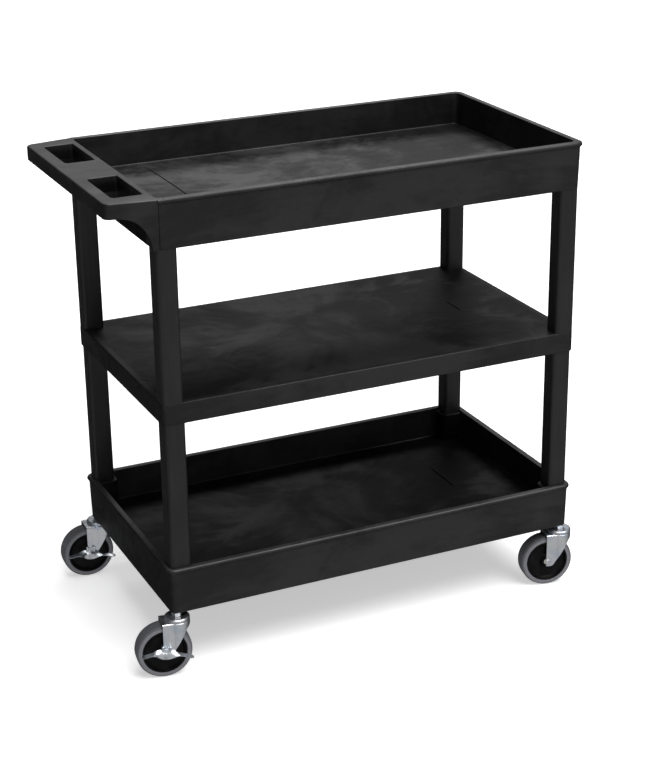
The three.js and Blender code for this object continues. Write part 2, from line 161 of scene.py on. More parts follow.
class CartLegSizes(bpy.types.PropertyGroup):
    corner: length("Edge radius", "Radius of a leg's upright edges", 0.006)
    outer_corner: length("Outer edge radius", "Radius of the edge at the cart's corner", 0.009)
    wall: length("Leg wall", "Wall of the hollow leg", 0.004)


class CartCasterSizes(bpy.types.PropertyGroup):
    wheel_width: length("Wheel width", "Width of tyre and hub", 0.032)
    tyre_thickness: length("Tyre thickness", "Depth of the rubber", 0.010)
    shoulder: length("Shoulder", "Radius of the tread's shoulder", 0.006)
    side_gap: length("Side gap", "Room between wheel and fork", 0.0015)
    sheet: length("Fork sheet", "Thickness of the pressed steel", 0.0025)
    crown_radius: length("Crown radius", "Radius of the fork's crown", 0.023)
    crown_rear: length("Crown rear", "Reach of the crown behind the stem", 0.030)
    crown_skirt: length("Crown skirt", "Depth of the crown's skirt at the front", 0.007)
    press_radius: length("Press radius", "Radius of the crown's pressed edge", 0.003)
    foot_radius: length("Foot radius", "Radius of the fork's foot", 0.009)
    trail: length("Trail", "Distance from stem to axle", 0.027)
    ball_pitch: length("Ball pitch radius", "Radius of the ball race", 0.017)
    ball_radius: length("Ball radius", "Radius of one ball", 0.0018)
    balls: count("Balls", "Balls in a race", 26, 3)
    cap_radius: length("Cap radius", "Radius of the race cap", 0.023)
    cap_sheet: length("Cap sheet", "Thickness of the race cap", 0.0024)
    collar_radius: length("Collar radius", "Radius of the collar on the stem", 0.0095)
    collar_height: length("Collar height", "Height of the collar on the stem", 0.007)
    kingpin_radius: length("Kingpin radius", "Radius of the riveted kingpin", 0.005)
    stem_radius: length("Stem radius", "Radius of the stem in its socket", 0.0055)
    axle_radius: length("Axle radius", "Radius of the axle bolt", 0.004)
    boss_radius: length("Boss radius", "Radius of the hub's boss", 0.011)
    bush_radius: length("Bush radius", "Radius of the wheel's bush", 0.0065)
    gap: length("Gap", "Gap between touching pieces", 0.0003)


class CartBrakeSizes(bpy.types.PropertyGroup):
    tilt: angle("Tilt", "How far the lever stands from level", 8.5)
    half_span: length("Half span", "Half the lever's length", 0.047)
    sheet: length("Lever sheet", "Thickness of the lever", 0.0016)
    half_height: length("Half height", "Half the lever's height at its middle", 0.010)
    wing_depth: length("Wing depth", "Width of a wing near its tip", 0.009)
    sweep: length("Sweep", "How far the wings sweep outwards", 0.014)
    curl: length("Curl", "How far the tips turn up", 0.003)
    ridge: length("Ridge", "How far the middle's ridge stands out", 0.0036)
    cam_half_width: length("Cam half width", "Half the cam's width", 0.0095)
    cam_sheet: length("Cam sheet", "Thickness of the cam", 0.0032)
    cam_rise: length("Cam rise", "Height of the cam over the axle", 0.0155)


class CartFinishes(bpy.types.PropertyGroup):
    shelf_dark: colour("Shelf dark", "Shelf plastic in its darker flow bands", (0.003, 0.003, 0.0031))
    shelf_light: colour("Shelf light", "Shelf plastic in its lighter flow bands", (0.014, 0.014, 0.0143))
    leg: colour("Leg", "Leg plastic", (0.0115, 0.0115, 0.0119))
    zinc: colour("Zinc", "Zinc-plated pressings", (0.80, 0.815, 0.84))
    zinc_blue: colour("Zinc passivation", "Blue cast of the plating", (0.62, 0.70, 0.82))
    steel: colour("Bearing steel", "Balls of the swivel race", (0.52, 0.53, 0.55))
    tyre: colour("Tyre", "Grey rubber tread", (0.078, 0.079, 0.086))
    tyre_side: colour("Tyre side", "Lighter rubber of the side ring", (0.155, 0.156, 0.172))
    hub: colour("Hub", "Black hub plastic", (0.003, 0.003, 0.0034))
    nylon: colour("Nylon", "Bush plastic", (0.62, 0.60, 0.55))
    floor: colour("Floor", "Studio floor", (0.90, 0.90, 0.90))
    shelf_sheen: share("Shelf sheen", "Specular level of the shelf plastic's lighter bands", 0.55)
    shelf_roughness: share("Shelf roughness", "Middle roughness of the shelf plastic", 0.46)
    floor_glow: share("Floor glow", "How brightly the floor is lit through from below", 0.5)
    leg_roughness: share("Leg roughness", "Roughness of the leg plastic", 0.42)


class CartStudio(bpy.types.PropertyGroup):
    azimuth: angle("Azimuth", "Camera's heading round the cart", -24.626)
    elevation: angle("Elevation", "Camera's angle over the horizon", 21.814)
    roll: angle("Roll", "Camera's turn about its own axis", -0.802)
    distance: length("Distance", "Camera to the point that it looks at", 3.4742, high=20)
    aim: bpy.props.FloatVectorProperty(
        name="Aim", description="The point looked at, from the middle of the cart's box",
        default=(0.01683, -0.02004, -0.02799), subtype="XYZ", unit="LENGTH",
    )
    lens: strength("Lens", "Focal length in millimetres", 85.9)
    floor_size: length("Floor size", "Side of the floor", 60.0, high=200)
    front_wall: strength("Front", "Glow of the room in front", 0.46)
    back_wall: strength("Back", "Glow of the room behind", 0.05)
    key: strength("Key", "Strength of the overhead light", 3.0)
    spread: angle("Spread", "Apparent width of the overhead light", 50)
    back_light: strength("Back light", "Power of the softbox behind", 26)


GROUPS = {
    "cart_shelf": CartShelfSizes,
    "cart_handle": CartHandleSizes,
    "cart_leg": CartLegSizes,
    "cart_caster": CartCasterSizes,
    "cart_brake": CartBrakeSizes,
    "cart_finish": CartFinishes,
    "cart_studio": CartStudio,
}


# ---------------------------------------------------------------- outlines
def arc(x, y, radius, start, end, steps):
    """Points on a circle from one angle to another, both ends included."""
    turns = [start + (end - start) * i / steps for i in range(steps + 1)]
    return [(x + radius * math.cos(t), y + radius * math.sin(t)) for t in turns]


def rounded_polygon(corners, steps=BIG_ARC):
    """An outline through (x, y, radius) corners, each rounded by an arc that touches both sides."""
    outline = []
    for i, (x, y, radius) in enumerate(corners):
        corner = Vector((x, y))
        back = (Vector(corners[i - 1][:2]) - corner).normalized()
        on = (Vector(corners[(i + 1) % len(corners)][:2]) - corner).normalized()
        half = back.angle(on) / 2
        if radius <= 0:
            outline += [tuple(corner)]
            continue
        middle = corner + (back + on).normalized() * radius / math.sin(half)
        start = corner + back * radius / math.tan(half) - middle
        end = corner + on * radius / math.tan(half) - middle
        first = math.atan2(start.y, start.x)
        turn = (math.atan2(end.y, end.x) - first + math.pi) % (2 * math.pi) - math.pi
        outline += arc(middle.x, middle.y, radius, first, first + turn, steps)
    return outline


def rectangle(x0, x1, y0, y1, radius, steps=BIG_ARC):
    corners = [(x0, y0), (x1, y0), (x1, y1), (x0, y1)]
    return rounded_polygon([(x, y, radius) for x, y in corners], steps)


def at_height(outline, z):
    return [Vector((x, y, z)) for x, y in outline]


def plan_ring(offset, z, corner):
    """A shelf's outline moved outwards by an offset, at one height."""
    x, y = HALF_LENGTH + offset, HALF_WIDTH + offset
    outline = rectangle(PLAN_CENTRE.x - x, PLAN_CENTRE.x + x, PLAN_CENTRE.y - y, PLAN_CENTRE.y + y, corner)
    return at_height(outline, z)


# ---------------------------------------------------------------- meshes
def piece_from(bm, name):
    bmesh.ops.recalc_face_normals(bm, faces=bm.faces)
    mesh = bpy.data.meshes.new(name)
    bm.to_mesh(mesh)
    bm.free()
    piece = bpy.data.objects.new(name, mesh)
    bpy.context.scene.collection.objects.link(piece)
    return piece


def loft(name, rings, closed=False):
    """A closed solid through rings that have the same number of points."""
    bm = bmesh.new()
    rows = [[bm.verts.new(point) for point in ring] for ring in rings]
    following = rows[1:] + rows[:1] if closed else rows[1:]
    for row, after in zip(rows, following):
        for i in range(len(row)):
            j = (i + 1) % len(row)
            bm.faces.new((row[i], row[j], after[j], after[i]))
    if not closed:
        bm.faces.new(reversed(rows[0]))
        bm.faces.new(rows[-1])
    return piece_from(bm, name)


def prism(name, outline, low, high, axis="Z"):
    """An outline run along Z, or an outline of (x, z) points run along Y."""
    if axis == "Z":
        return loft(name, [at_height(outline, low), at_height(outline, high)])
    return loft(name, [[Vector((x, y, z)) for x, z in outline] for y in (low, high)])


def block(name, x0, x1, y0, y1, z0, z1):
    return prism(name, [(x0, y0), (x1, y0), (x1, y1), (x0, y1)], z0, z1)


def turned(name, profile, sides=ROUND, axis="Z"):
    """A solid of revolution from (radius, height) points; it starts and ends on the axis or closes."""
    bm = bmesh.new()
    on_axis = profile[0][0] == 0 and profile[-1][0] == 0
    path = profile if on_axis else profile + profile[:1]
    rows = []
    for radius, height in path if on_axis else profile:
        turns = [2 * math.pi * i / sides for i in range(sides)]
        place = [(radius * math.cos(t), radius * math.sin(t), height) for t in turns]
        if radius == 0:
            place = place[:1]
        rows.append([bm.verts.new(point) for point in place])
    if not on_axis:
        rows.append(rows[0])
    for row, after in zip(rows, rows[1:]):
        for i in range(sides):
            j = (i + 1) % sides
            ends = [row[i % len(row)], row[j % len(row)], after[j % len(after)], after[i % len(after)]]
            bm.faces.new(list(dict.fromkeys(ends)))
    piece = piece_from(bm, name)
    if axis == "Y":
        piece.data.transform(Matrix.Rotation(math.pi / 2, 4, "X"))
    return piece


def bore_cutter(radius, low, high, axis="Z"):
    return turned("bore", [(0, low), (radius, low), (radius, high), (0, high)], ROUND, axis)


def hexagon_block(name, radius, flat, low, high, chamfer):
    """A hexagon whose points are chamfered down to a flat's radius at both ends."""
    corners = [(radius * math.cos(a), radius * math.sin(a)) for a in (math.pi / 3 * i for i in range(6))]
    barrel = turned("barrel", [
        (0, low), (flat, low), (radius, low + chamfer), (radius, high - chamfer), (flat, high), (0, high),
    ])
    return keep_inside(prism(name, corners, low, high), barrel)


def settle(piece):
    """Turns what the modifiers make into the piece's own mesh."""
    graph = bpy.context.evaluated_depsgraph_get()
    old = piece.data
    made = bpy.data.meshes.new_from_object(piece.evaluated_get(graph), depsgraph=graph)
    piece.modifiers.clear()
    piece.data = made
    made.name = piece.name
    bpy.data.meshes.remove(old)


def duplicate(piece):
    copy = piece.copy()
    copy.data = piece.data.copy()
    bpy.context.scene.collection.objects.link(copy)
    return copy


def discard(piece):
    mesh = piece.data
    bpy.data.objects.remove(piece)
    bpy.data.meshes.remove(mesh)


def combine(piece, others, operation):
    """Joins other solids to a piece or cuts them from it; the others are used up."""
    for other in others:
        modifier = piece.modifiers.new("Combine", "BOOLEAN")
        modifier.object = other
        modifier.operation = operation
        modifier.solver = "MANIFOLD"
        settle(piece)
        discard(other)
    return piece


def join(piece, *others):
    return combine(piece, others, "UNION")


def cut(piece, *others):
    return combine(piece, others, "DIFFERENCE")


def keep_inside(piece, *others):
    return combine(piece, others, "INTERSECT")


def soften(piece, width, segments=2, angle=35):
    """Rounds the sharp edges of a simple solid."""
    modifier = piece.modifiers.new("Soften", "BEVEL")
    modifier.width = width
    modifier.segments = segments
    modifier.limit_method = "ANGLE"
    modifier.angle_limit = math.radians(angle)
    modifier.use_clamp_overlap = True
    settle(piece)
    return piece


def paint(thing, material):
    thing.data.materials.clear()
    thing.data.materials.append(material)


def finish(piece, body, material, nodes, sharp=32):
    """Shades a piece, gives it its material and body, and lets it stand for its nodes."""
    mesh = piece.data
    bm = bmesh.new()
    bm.from_mesh(mesh)
    bmesh.ops.remove_doubles(bm, verts=bm.verts, dist=1e-6)
    bmesh.ops.dissolve_degenerate(bm, edges=bm.edges, dist=1e-7)
    bm.to_mesh(mesh)
    bm.free()
    mesh.shade_smooth()
    mesh.set_sharp_from_angle(angle=math.radians(sharp))
    weighted = piece.modifiers.new("Weighted normals", "WEIGHTED_NORMAL")
    weighted.keep_sharp = True
    settle(piece)
    paint(piece, material)
    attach(piece, body)
    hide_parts(*nodes)
    return piece


# ---------------------------------------------------------------- materials
def add(tree, kind, settings=None, **sockets):
    """A node with its settings, and its sockets by name: a socket is linked, a value is set."""
    node = tree.nodes.new(kind)
    for name, value in (settings or {}).items():
        setattr(node, name, value)
    for name, value in sockets.items():
        label = name.replace("_", " ")
        found = [s for s in node.inputs if s.name == label and s.enabled] or [node.inputs[int(name[1:])]]
        if isinstance(value, bpy.types.NodeSocket):
            tree.links.new(value, found[0])
        else:
            found[0].default_value = value
    return node


def maths(tree, operation, first, second=0.0):
    return add(tree, "ShaderNodeMath", {"operation": operation}, i0=first, i1=second).outputs[0]


def times(tree, first, second):
    return maths(tree, "MULTIPLY", first, second)


def plus(tree, first, second):
    return maths(tree, "ADD", first, second)


def minus(tree, first, second):
    return maths(tree, "SUBTRACT", first, second)


def unsigned(tree, value):
    return maths(tree, "ABSOLUTE", value)


def split(tree, vector):
    """The X, Y and Z sockets of a vector."""
    return add(tree, "ShaderNodeSeparateXYZ", None, Vector=vector).outputs


def scaled(tint, gain):
    return tuple(value * gain for value in tint)


def mapped(tree, value, low, high, to_low, to_high):
    node = add(tree, "ShaderNodeMapRange", {"interpolation_type": "SMOOTHSTEP"}, Value=value)
    for name, number in (("From Min", low), ("From Max", high), ("To Min", to_low), ("To Max", to_high)):
        node.inputs[name].default_value = number
    return node.outputs[0]


def noise(tree, vector, scale, detail=4.0, roughness=0.5, distortion=0.0):
    node = add(
        tree, "ShaderNodeTexNoise", None,
        Vector=vector, Scale=scale, Detail=detail, Roughness=roughness, Distortion=distortion,
    )
    return node.outputs[0]


def blended(tree, amount, first, second):
    """A colour between two, by an amount from 0 to 1."""
    node = add(tree, "ShaderNodeMix", {"data_type": "RGBA"})
    tree.links.new(amount, node.inputs["Factor"])
    for socket, value in ((node.inputs[6], first), (node.inputs[7], second)):
        if isinstance(value, bpy.types.NodeSocket):
            tree.links.new(value, socket)
        else:
            socket.default_value = (*value, 1)
    return node.outputs[2]


def blank(name, metallic=0.0, specular=0.5):
    """A new material, its tree, its shader, and the piece's own coordinates."""
    material = bpy.data.materials.new(name)
    material.use_nodes = True
    tree = material.node_tree
    shader = tree.nodes["Principled BSDF"]
    shader.inputs["Metallic"].default_value = metallic
    shader.inputs["Specular IOR Level"].default_value = specular
    place = tree.nodes.new("ShaderNodeTexCoord").outputs["Object"]
    return material, tree, shader, place


def centred(tree, place, centre, turn=0.0):
    """Coordinates about a point, turned about Z."""
    moved = add(tree, "ShaderNodeVectorMath", {"operation": "SUBTRACT"}, i0=place, i1=tuple(centre))
    node = add(tree, "ShaderNodeMapping", None, Vector=moved.outputs[0], Rotation=(0, 0, turn))
    return node.outputs[0]


def bumped(tree, shader, height, strength, distance):
    node = add(tree, "ShaderNodeBump", None, Height=height, Strength=strength, Distance=distance)
    tree.links.new(node.outputs[0], shader.inputs["Normal"])


def feed(tree, shader, base=None, roughness=None):
    if base is not None:
        tree.links.new(base, shader.inputs["Base Color"])
    if roughness is not None:
        tree.links.new(roughness, shader.inputs["Roughness"])


def flow_streaks(tree, place, wedge):
    """Bands that fan out from the gate at the middle of a moulding, as molten plastic leaves them."""
    x, y, z = split(tree, place)
    flat = add(tree, "ShaderNodeCombineXYZ", None, X=x, Y=y).outputs[0]
    away = add(tree, "ShaderNodeVectorMath", {"operation": "LENGTH"}, i0=flat).outputs["Value"]
    heading = add(tree, "ShaderNodeVectorMath", {"operation": "NORMALIZE"}, i0=flat)
    hx, hy, _ = split(tree, heading.outputs[0])
    drift = plus(tree, times(tree, away, 1.3), times(tree, z, 9.0))
    spread = mapped(tree, away, 0.02, 0.30, 0.0, 1.0)
    fan = add(tree, "ShaderNodeCombineXYZ", None, X=hx, Y=hy, Z=drift).outputs[0]
    broad = noise(tree, fan, 2.6, 3, 0.5, 0.35)
    fine = noise(tree, fan, 11.0, 5, 0.6, 0.5)
    cloud = noise(tree, place, 4.5, 5, 0.6, 0.9)
    swirl = noise(tree, place, 14.0, 6, 0.62, 2.2)
    rays = plus(tree, times(tree, broad, 0.6), times(tree, fine, 0.4))
    rays = times(tree, minus(tree, rays, 0.5), times(tree, spread, 0.75))
    across = times(tree, minus(tree, maths(tree, "POWER", hy, 2.0), 0.5), wedge)
    across = times(tree, across, spread)
    clouded = plus(tree, times(tree, cloud, 0.75), times(tree, swirl, 0.25))
    return plus(tree, plus(tree, clouded, rays), across), swirl


def hand_hole_shade(tree, about, grip, top):
    """Painted shade for the hand holes: 1 outside them, falling to the pit's share down inside them."""
    x, y, z = split(tree, about)
    tip = -HALF_LENGTH - (SHELF_LOW.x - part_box("top_tub")[0].x)
    half_x = (-HALF_LENGTH - tip - grip.bar_depth) / 2
    past_x = minus(tree, unsigned(tree, plus(tree, x, HALF_LENGTH + half_x)), half_x)
    middle = (grip.hole_inner + grip.hole_outer) / 2
    half_y = (grip.hole_outer - grip.hole_inner) / 2
    from_middle = unsigned(tree, minus(tree, unsigned(tree, y), middle))
    past = maths(tree, "MAXIMUM", past_x, minus(tree, from_middle, half_y))
    within = mapped(tree, past, 0.0006, 0.0016, 1.0, 0.0)
    deep = mapped(tree, z, top - 0.016, top - 0.0015, 1.0, 0.0)
    shade = times(tree, times(tree, within, deep), 1 - grip.pit)
    return minus(tree, 1.0, shade)


def shelf_plastic(name, look, centre, marks, wedge, floor_light_gain, top, rim_highlight_gain, grip=None):
    """Near-black structural foam: fanned flow streaks, a fine swirl and a pebbled skin.

    The floor inside the walls is lightened or darkened by its own gain, painted light and shade; the top of
    the rim is lightened by another, a painted highlight.
    """
    material, tree, shader, place = blank(name)
    about = centred(tree, place, centre)
    streaks, swirl = flow_streaks(tree, about, wedge)
    x, y, z = split(tree, about)
    field_inset, field_blend = 0.012, 0.003
    past_x = minus(tree, unsigned(tree, x), HALF_LENGTH - field_inset)
    past_y = minus(tree, unsigned(tree, y), HALF_WIDTH - field_inset)
    past = maths(tree, "MAXIMUM", past_x, past_y)
    contrast = mapped(tree, past, -field_blend, field_blend, 1.0, 0.35)
    tone = mapped(tree, streaks, 0.36, 0.66, -0.55, 0.45)
    tone = plus(tree, times(tree, tone, contrast), 0.55)
    base = blended(tree, tone, look.shelf_dark, look.shelf_light)
    sheen = mapped(tree, tone, 0.0, 1.0, look.shelf_sheen * 0.35, look.shelf_sheen)
    # Painted light and shade: the floor's gain lightens the upper tub's floor and darkens the lower tub's,
    # shaded by the shelves over it; the rim's gain paints a highlight on the rim's top.
    field = mapped(tree, past, -field_blend, field_blend, floor_light_gain, 1.0)
    gain = times(tree, field, mapped(tree, z, top - 0.0014, top - 0.0003, 1.0, rim_highlight_gain))
    if grip:
        gain = times(tree, gain, hand_hole_shade(tree, about, grip, top))
    base = add(tree, "ShaderNodeVectorMath", {"operation": "SCALE"}, i0=base, Scale=gain).outputs[0]
    sheen = times(tree, sheen, gain)
    height = noise(tree, place, 420.0, 3, 0.6)
    for mark_x, y0, y1 in marks:
        middle, span = (y0 + y1) / 2, abs(y1 - y0)
        bow = times(tree, maths(tree, "POWER", minus(tree, y, middle), 2), 0.2)
        beside = unsigned(tree, plus(tree, minus(tree, x, mark_x), bow))
        near = mapped(tree, beside, 0.0007, 0.0022, 1.0, 0.0)
        within = unsigned(tree, minus(tree, y, middle))
        along = mapped(tree, within, span * 0.3, span / 2, 1.0, 0.0)
        line = times(tree, near, along)
        base = blended(tree, line, base, (0.001, 0.001, 0.001))
        sheen = times(tree, sheen, minus(tree, 1.0, line))
        height = minus(tree, height, times(tree, line, 1.5))
    rough = mapped(tree, swirl, 0.25, 0.8, look.shelf_roughness - 0.08, look.shelf_roughness + 0.12)
    tree.links.new(sheen, shader.inputs["Specular IOR Level"])
    feed(tree, shader, base, rough)
    bumped(tree, shader, height, 0.22, 0.0004)
    return material


def leg_plastic(look):
    """Smooth charcoal moulding, with faint draw lines along the leg and light handling marks."""
    material, tree, shader, place = blank("leg_moulding", specular=0.34)
    long = add(tree, "ShaderNodeMapping", None, Vector=place, Scale=(1, 1, 0.06)).outputs[0]
    lines = noise(tree, long, 160.0, 4, 0.6)
    cloud = noise(tree, place, 9.0, 4, 0.6, 0.6)
    tone = mapped(tree, plus(tree, lines, cloud), 0.8, 1.25, 0.0, 1.0)
    darker = scaled(look.leg, 0.82)
    lighter = scaled(look.leg, 1.14)
    rough = mapped(tree, cloud, 0.3, 0.7, look.leg_roughness - 0.05, look.leg_roughness + 0.07)
    feed(tree, shader, blended(tree, tone, darker, lighter), rough)
    bumped(tree, shader, noise(tree, place, 520.0, 3, 0.6), 0.14, 0.0003)
    return material


def zinc_plate(look):
    """Bright passivated zinc: a blue cast in patches, faint drawing lines and soft spangle."""
    material, tree, shader, place = blank("zinc_plate", metallic=1.0)
    long = add(tree, "ShaderNodeMapping", None, Vector=place, Scale=(1, 1, 0.12)).outputs[0]
    drawn = noise(tree, long, 420.0, 4, 0.65)
    patch = noise(tree, place, 38.0, 3, 0.55, 0.6)
    tint = blended(tree, mapped(tree, patch, 0.42, 0.7, 0.0, 0.75), look.zinc, look.zinc_blue)
    rough = mapped(tree, plus(tree, drawn, patch), 0.7, 1.3, 0.24, 0.42)
    feed(tree, shader, tint, rough)
    bumped(tree, shader, drawn, 0.10, 0.0002)
    return material


def bearing_steel(look):
    """Polished balls under a film of grease."""
    material, tree, shader, place = blank("race_steel", metallic=1.0)
    film = noise(tree, place, 260.0, 3, 0.6)
    darker = scaled(look.steel, 0.6)
    feed(tree, shader, blended(tree, film, darker, look.steel), mapped(tree, film, 0.3, 0.7, 0.12, 0.35))
    return material


def axle_frame(corner):
    """The axle's middle and its direction at one corner of the cart."""
    spin = JOINTS[f"wheel_spin_{corner}"]
    return Vector(spin["pos_m"]), Vector(spin["axis"])


def tyre_rubber(corner, look):
    """Grey rubber: a paler ring on the side, a worn tread and a fine mould grain."""
    material, tree, shader, place = blank(f"tyre_rubber_{corner}", specular=0.3)
    centre, axis = axle_frame(corner)
    about = centred(tree, place, centre, -math.atan2(-axis.x, axis.y))
    x, y, z = split(tree, about)
    disc = add(tree, "ShaderNodeCombineXYZ", None, X=x, Y=z).outputs[0]
    radius = add(tree, "ShaderNodeVectorMath", {"operation": "LENGTH"}, i0=disc).outputs["Value"]
    side = mapped(tree, radius, AXLE_HEIGHT - 0.0045, AXLE_HEIGHT - 0.0025, 1.0, 0.0)
    grain = noise(tree, place, 700.0, 3, 0.6)
    scuff = mapped(tree, noise(tree, place, 45.0, 5, 0.65, 0.8), 0.45, 0.75, 0.0, 0.5)
    worn = blended(tree, scuff, look.tyre, scaled(look.tyre, 1.5))
    base = blended(tree, side, worn, look.tyre_side)
    feed(tree, shader, base, mapped(tree, grain, 0.3, 0.7, 0.52, 0.72))
    bumped(tree, shader, grain, 0.2, 0.0003)
    return material


def hub_plastic(look):
    """Black moulded hub with a low sheen."""
    material, tree, shader, place = blank("hub_moulding", specular=0.1)
    cloud = noise(tree, place, 60.0, 4, 0.6, 0.4)
    lighter = scaled(look.hub, 2.2)
    tone = mapped(tree, cloud, 0.4, 0.7, 0.0, 1.0)
    feed(tree, shader, blended(tree, tone, look.hub, lighter), mapped(tree, cloud, 0.3, 0.7, 0.3, 0.45))
    bumped(tree, shader, noise(tree, place, 620.0, 2, 0.5), 0.12, 0.0003)
    return material


def nylon_plastic(look):
    """Natural nylon, a little cloudy."""
    material, tree, shader, place = blank("nylon_plastic", specular=0.5)
    cloud = noise(tree, place, 180.0, 3, 0.5)
    darker = scaled(look.nylon, 0.8)
    feed(tree, shader, blended(tree, cloud, darker, look.nylon), mapped(tree, cloud, 0.3, 0.7, 0.35, 0.5))
    return material


def floor_paint(look):
    """Pale matt floor, lit through from below, with a barely visible mottle."""
    material, tree, shader, place = blank("floor_paint", specular=0.1)
    shader.inputs["Emission Color"].default_value = (1, 1, 1, 1)
    shader.inputs["Emission Strength"].default_value = look.floor_glow
    cloud = noise(tree, place, 1.2, 3, 0.5)
    darker = scaled(look.floor, 0.985)
    feed(tree, shader, blended(tree, cloud, darker, look.floor), mapped(tree, cloud, 0.3, 0.7, 0.8, 0.9))
    return material


def once(name, make):
    """A material that several pieces share."""
    return bpy.data.materials.get(name) or make(bpy.context.scene.cart_finish)


# ---------------------------------------------------------------- geometry node trees
SOCKETS = {"float": "NodeSocketFloat", "int": "NodeSocketInt", "material": "NodeSocketMaterial"}


def new_tree(name, inputs):
    """A geometry tree with named inputs; gives the tree and its input sockets by name."""
    tree = bpy.data.node_groups.new(name, "GeometryNodeTree")
    tree.interface.new_socket("Geometry", in_out="OUTPUT", socket_type="NodeSocketGeometry")
    for label, kind in inputs:
        tree.interface.new_socket(label, in_out="INPUT", socket_type=SOCKETS[kind])
    return tree, tree.nodes.new("NodeGroupInput").outputs


def close_tree(tree, instances, material):
    """Makes the instances real, sets their material and sends them out."""
    real = add(tree, "GeometryNodeRealizeInstances", None, Geometry=instances)
    painted = add(tree, "GeometryNodeSetMaterial", None, Geometry=real.outputs[0], Material=material)
    add(tree, "NodeGroupOutput", None, Geometry=painted.outputs[0])
    return tree


def hollow_grid_tree():
    """A grid of equal boxes with ribs of one thickness between them."""
    names = [("Cell length", "float"), ("Cell width", "float"), ("Depth", "float"), ("Rib", "float"),
             ("Columns", "int"), ("Rows", "int"), ("Material", "material")]
    tree, given = new_tree("Cart rib hollows", names)

    def span(cell, count):
        pitch = plus(tree, given[cell], given["Rib"])
        return times(tree, pitch, minus(tree, given[count], 1.0))

    grid = add(tree, "GeometryNodeMeshGrid")
    tree.links.new(span("Cell length", "Columns"), grid.inputs["Size X"])
    tree.links.new(span("Cell width", "Rows"), grid.inputs["Size Y"])
    tree.links.new(given["Columns"], grid.inputs["Vertices X"])
    tree.links.new(given["Rows"], grid.inputs["Vertices Y"])
    size = add(tree, "ShaderNodeCombineXYZ", None,
               X=given["Cell length"], Y=given["Cell width"], Z=given["Depth"])
    cell = add(tree, "GeometryNodeMeshCube", None, Size=size.outputs[0])
    placed = add(tree, "GeometryNodeInstanceOnPoints", None, Points=grid.outputs[0], Instance=cell.outputs[0])
    return close_tree(tree, placed.outputs[0], given["Material"])


def ball_race_tree():
    """Balls spaced evenly round a circle."""
    names = [("Pitch radius", "float"), ("Ball radius", "float"), ("Balls", "int"), ("Material", "material")]
    tree, given = new_tree("Cart ball race", names)
    circle = add(tree, "GeometryNodeMeshCircle", None, Vertices=given["Balls"], Radius=given["Pitch radius"])
    ball = add(tree, "GeometryNodeMeshIcoSphere", None, Radius=given["Ball radius"], Subdivisions=3)
    placed = add(tree, "GeometryNodeInstanceOnPoints", None,
                 Points=circle.outputs[0], Instance=ball.outputs[0])
    return close_tree(tree, placed.outputs[0], given["Material"])


def grown(name, tree, values):
    """A plain mesh from a geometry tree, its inputs set by their identifiers."""
    piece = bpy.data.objects.new(name, bpy.data.meshes.new(name))
    modifier = piece.modifiers.new("Grow", "NODES")
    modifier.node_group = tree
    for item in tree.interface.items_tree:
        if item.in_out == "INPUT":
            modifier[item.identifier] = values[item.name]
    bpy.context.scene.collection.objects.link(piece)
    settle(piece)
    return piece


# ---------------------------------------------------------------- shelves
def leg_outline(leg, corner, size, grow=0.0):
    """A leg's outline where it stands, grown on every side."""
    low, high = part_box(leg)
    x0, x1, y0, y1 = low.x - grow, high.x + grow, low.y - grow, high.y + grow
    sx, sy = CORNERS[corner]
    points = []
    for x, y, side_x, side_y in ((x0, y0, -1, -1), (x1, y0, 1, -1), (x1, y1, 1, 1), (x0, y1, -1, 1)):
        outer = (side_x, side_y) == (sx, sy)
        points.append((x, y, max((size.outer_corner if outer else size.corner) + grow, 0.001)))
    return rounded_polygon(points, 8)


def leg_pockets(leg_kind, z0, z1, settings):
    """Four pocket cutters, one for each leg's end."""
    legs, fit = settings.cart_leg, settings.cart_shelf.fit
    return [
        prism("pocket", leg_outline(f"{leg_kind}_{corner}", corner, legs, fit), z0, z1)
        for corner in CORNERS
    ]


def rib_hollows(base, depth, size):
    """The hollows under a shelf, with solid blocks left at the corners."""
    inner_length = 2 * (HALF_LENGTH - size.skirt)
    inner_width = 2 * (HALF_WIDTH - size.skirt)
    tree = bpy.data.node_groups.get("Cart rib hollows") or hollow_grid_tree()
    cell_width = (inner_width - (size.rows - 1) * size.rib) / size.rows
    cells = grown("hollows", tree, {
        "Cell length": (inner_length - (size.columns - 1) * size.rib) / size.columns,
        "Cell width": cell_width,
        "Depth": depth + OVERRUN,
        "Rib": size.rib,
        "Columns": size.columns,
        "Rows": size.rows,
        "Material": None,
    })
    middle = (PLAN_CENTRE.x, PLAN_CENTRE.y, base + (depth - OVERRUN) / 2)
    cells.data.transform(Matrix.Translation(middle))
    solid = block_at_corners(base - 2 * OVERRUN, base + depth + OVERRUN, size, cell_width)
    cut(cells, *solid)
    return soften(cells, 0.0018, 2)


def block_at_corners(z0, z1, size, cell_width):
    blocks = []
    for sx, sy in CORNERS.values():
        x_outer = PLAN_CENTRE.x + sx * HALF_LENGTH
        x_inner = PLAN_CENTRE.x + sx * (HALF_LENGTH - size.skirt - size.corner_block)
        y_outer = PLAN_CENTRE.y + sy * HALF_WIDTH
        y_inner = PLAN_CENTRE.y + sy * (HALF_WIDTH - size.skirt - cell_width - size.rib / 2)
        x0, x1 = sorted((x_outer, x_inner))
        y0, y1 = sorted((y_outer, y_inner))
        blocks.append(block("corner_block", x0, x1, y0, y1, z0, z1))
    return blocks


def quarter(offset, z, radius, start, end):
    """Profile points on a rounded edge, angles in degrees."""
    return arc(offset, z, radius, math.radians(start), math.radians(end), SMALL_ARC)


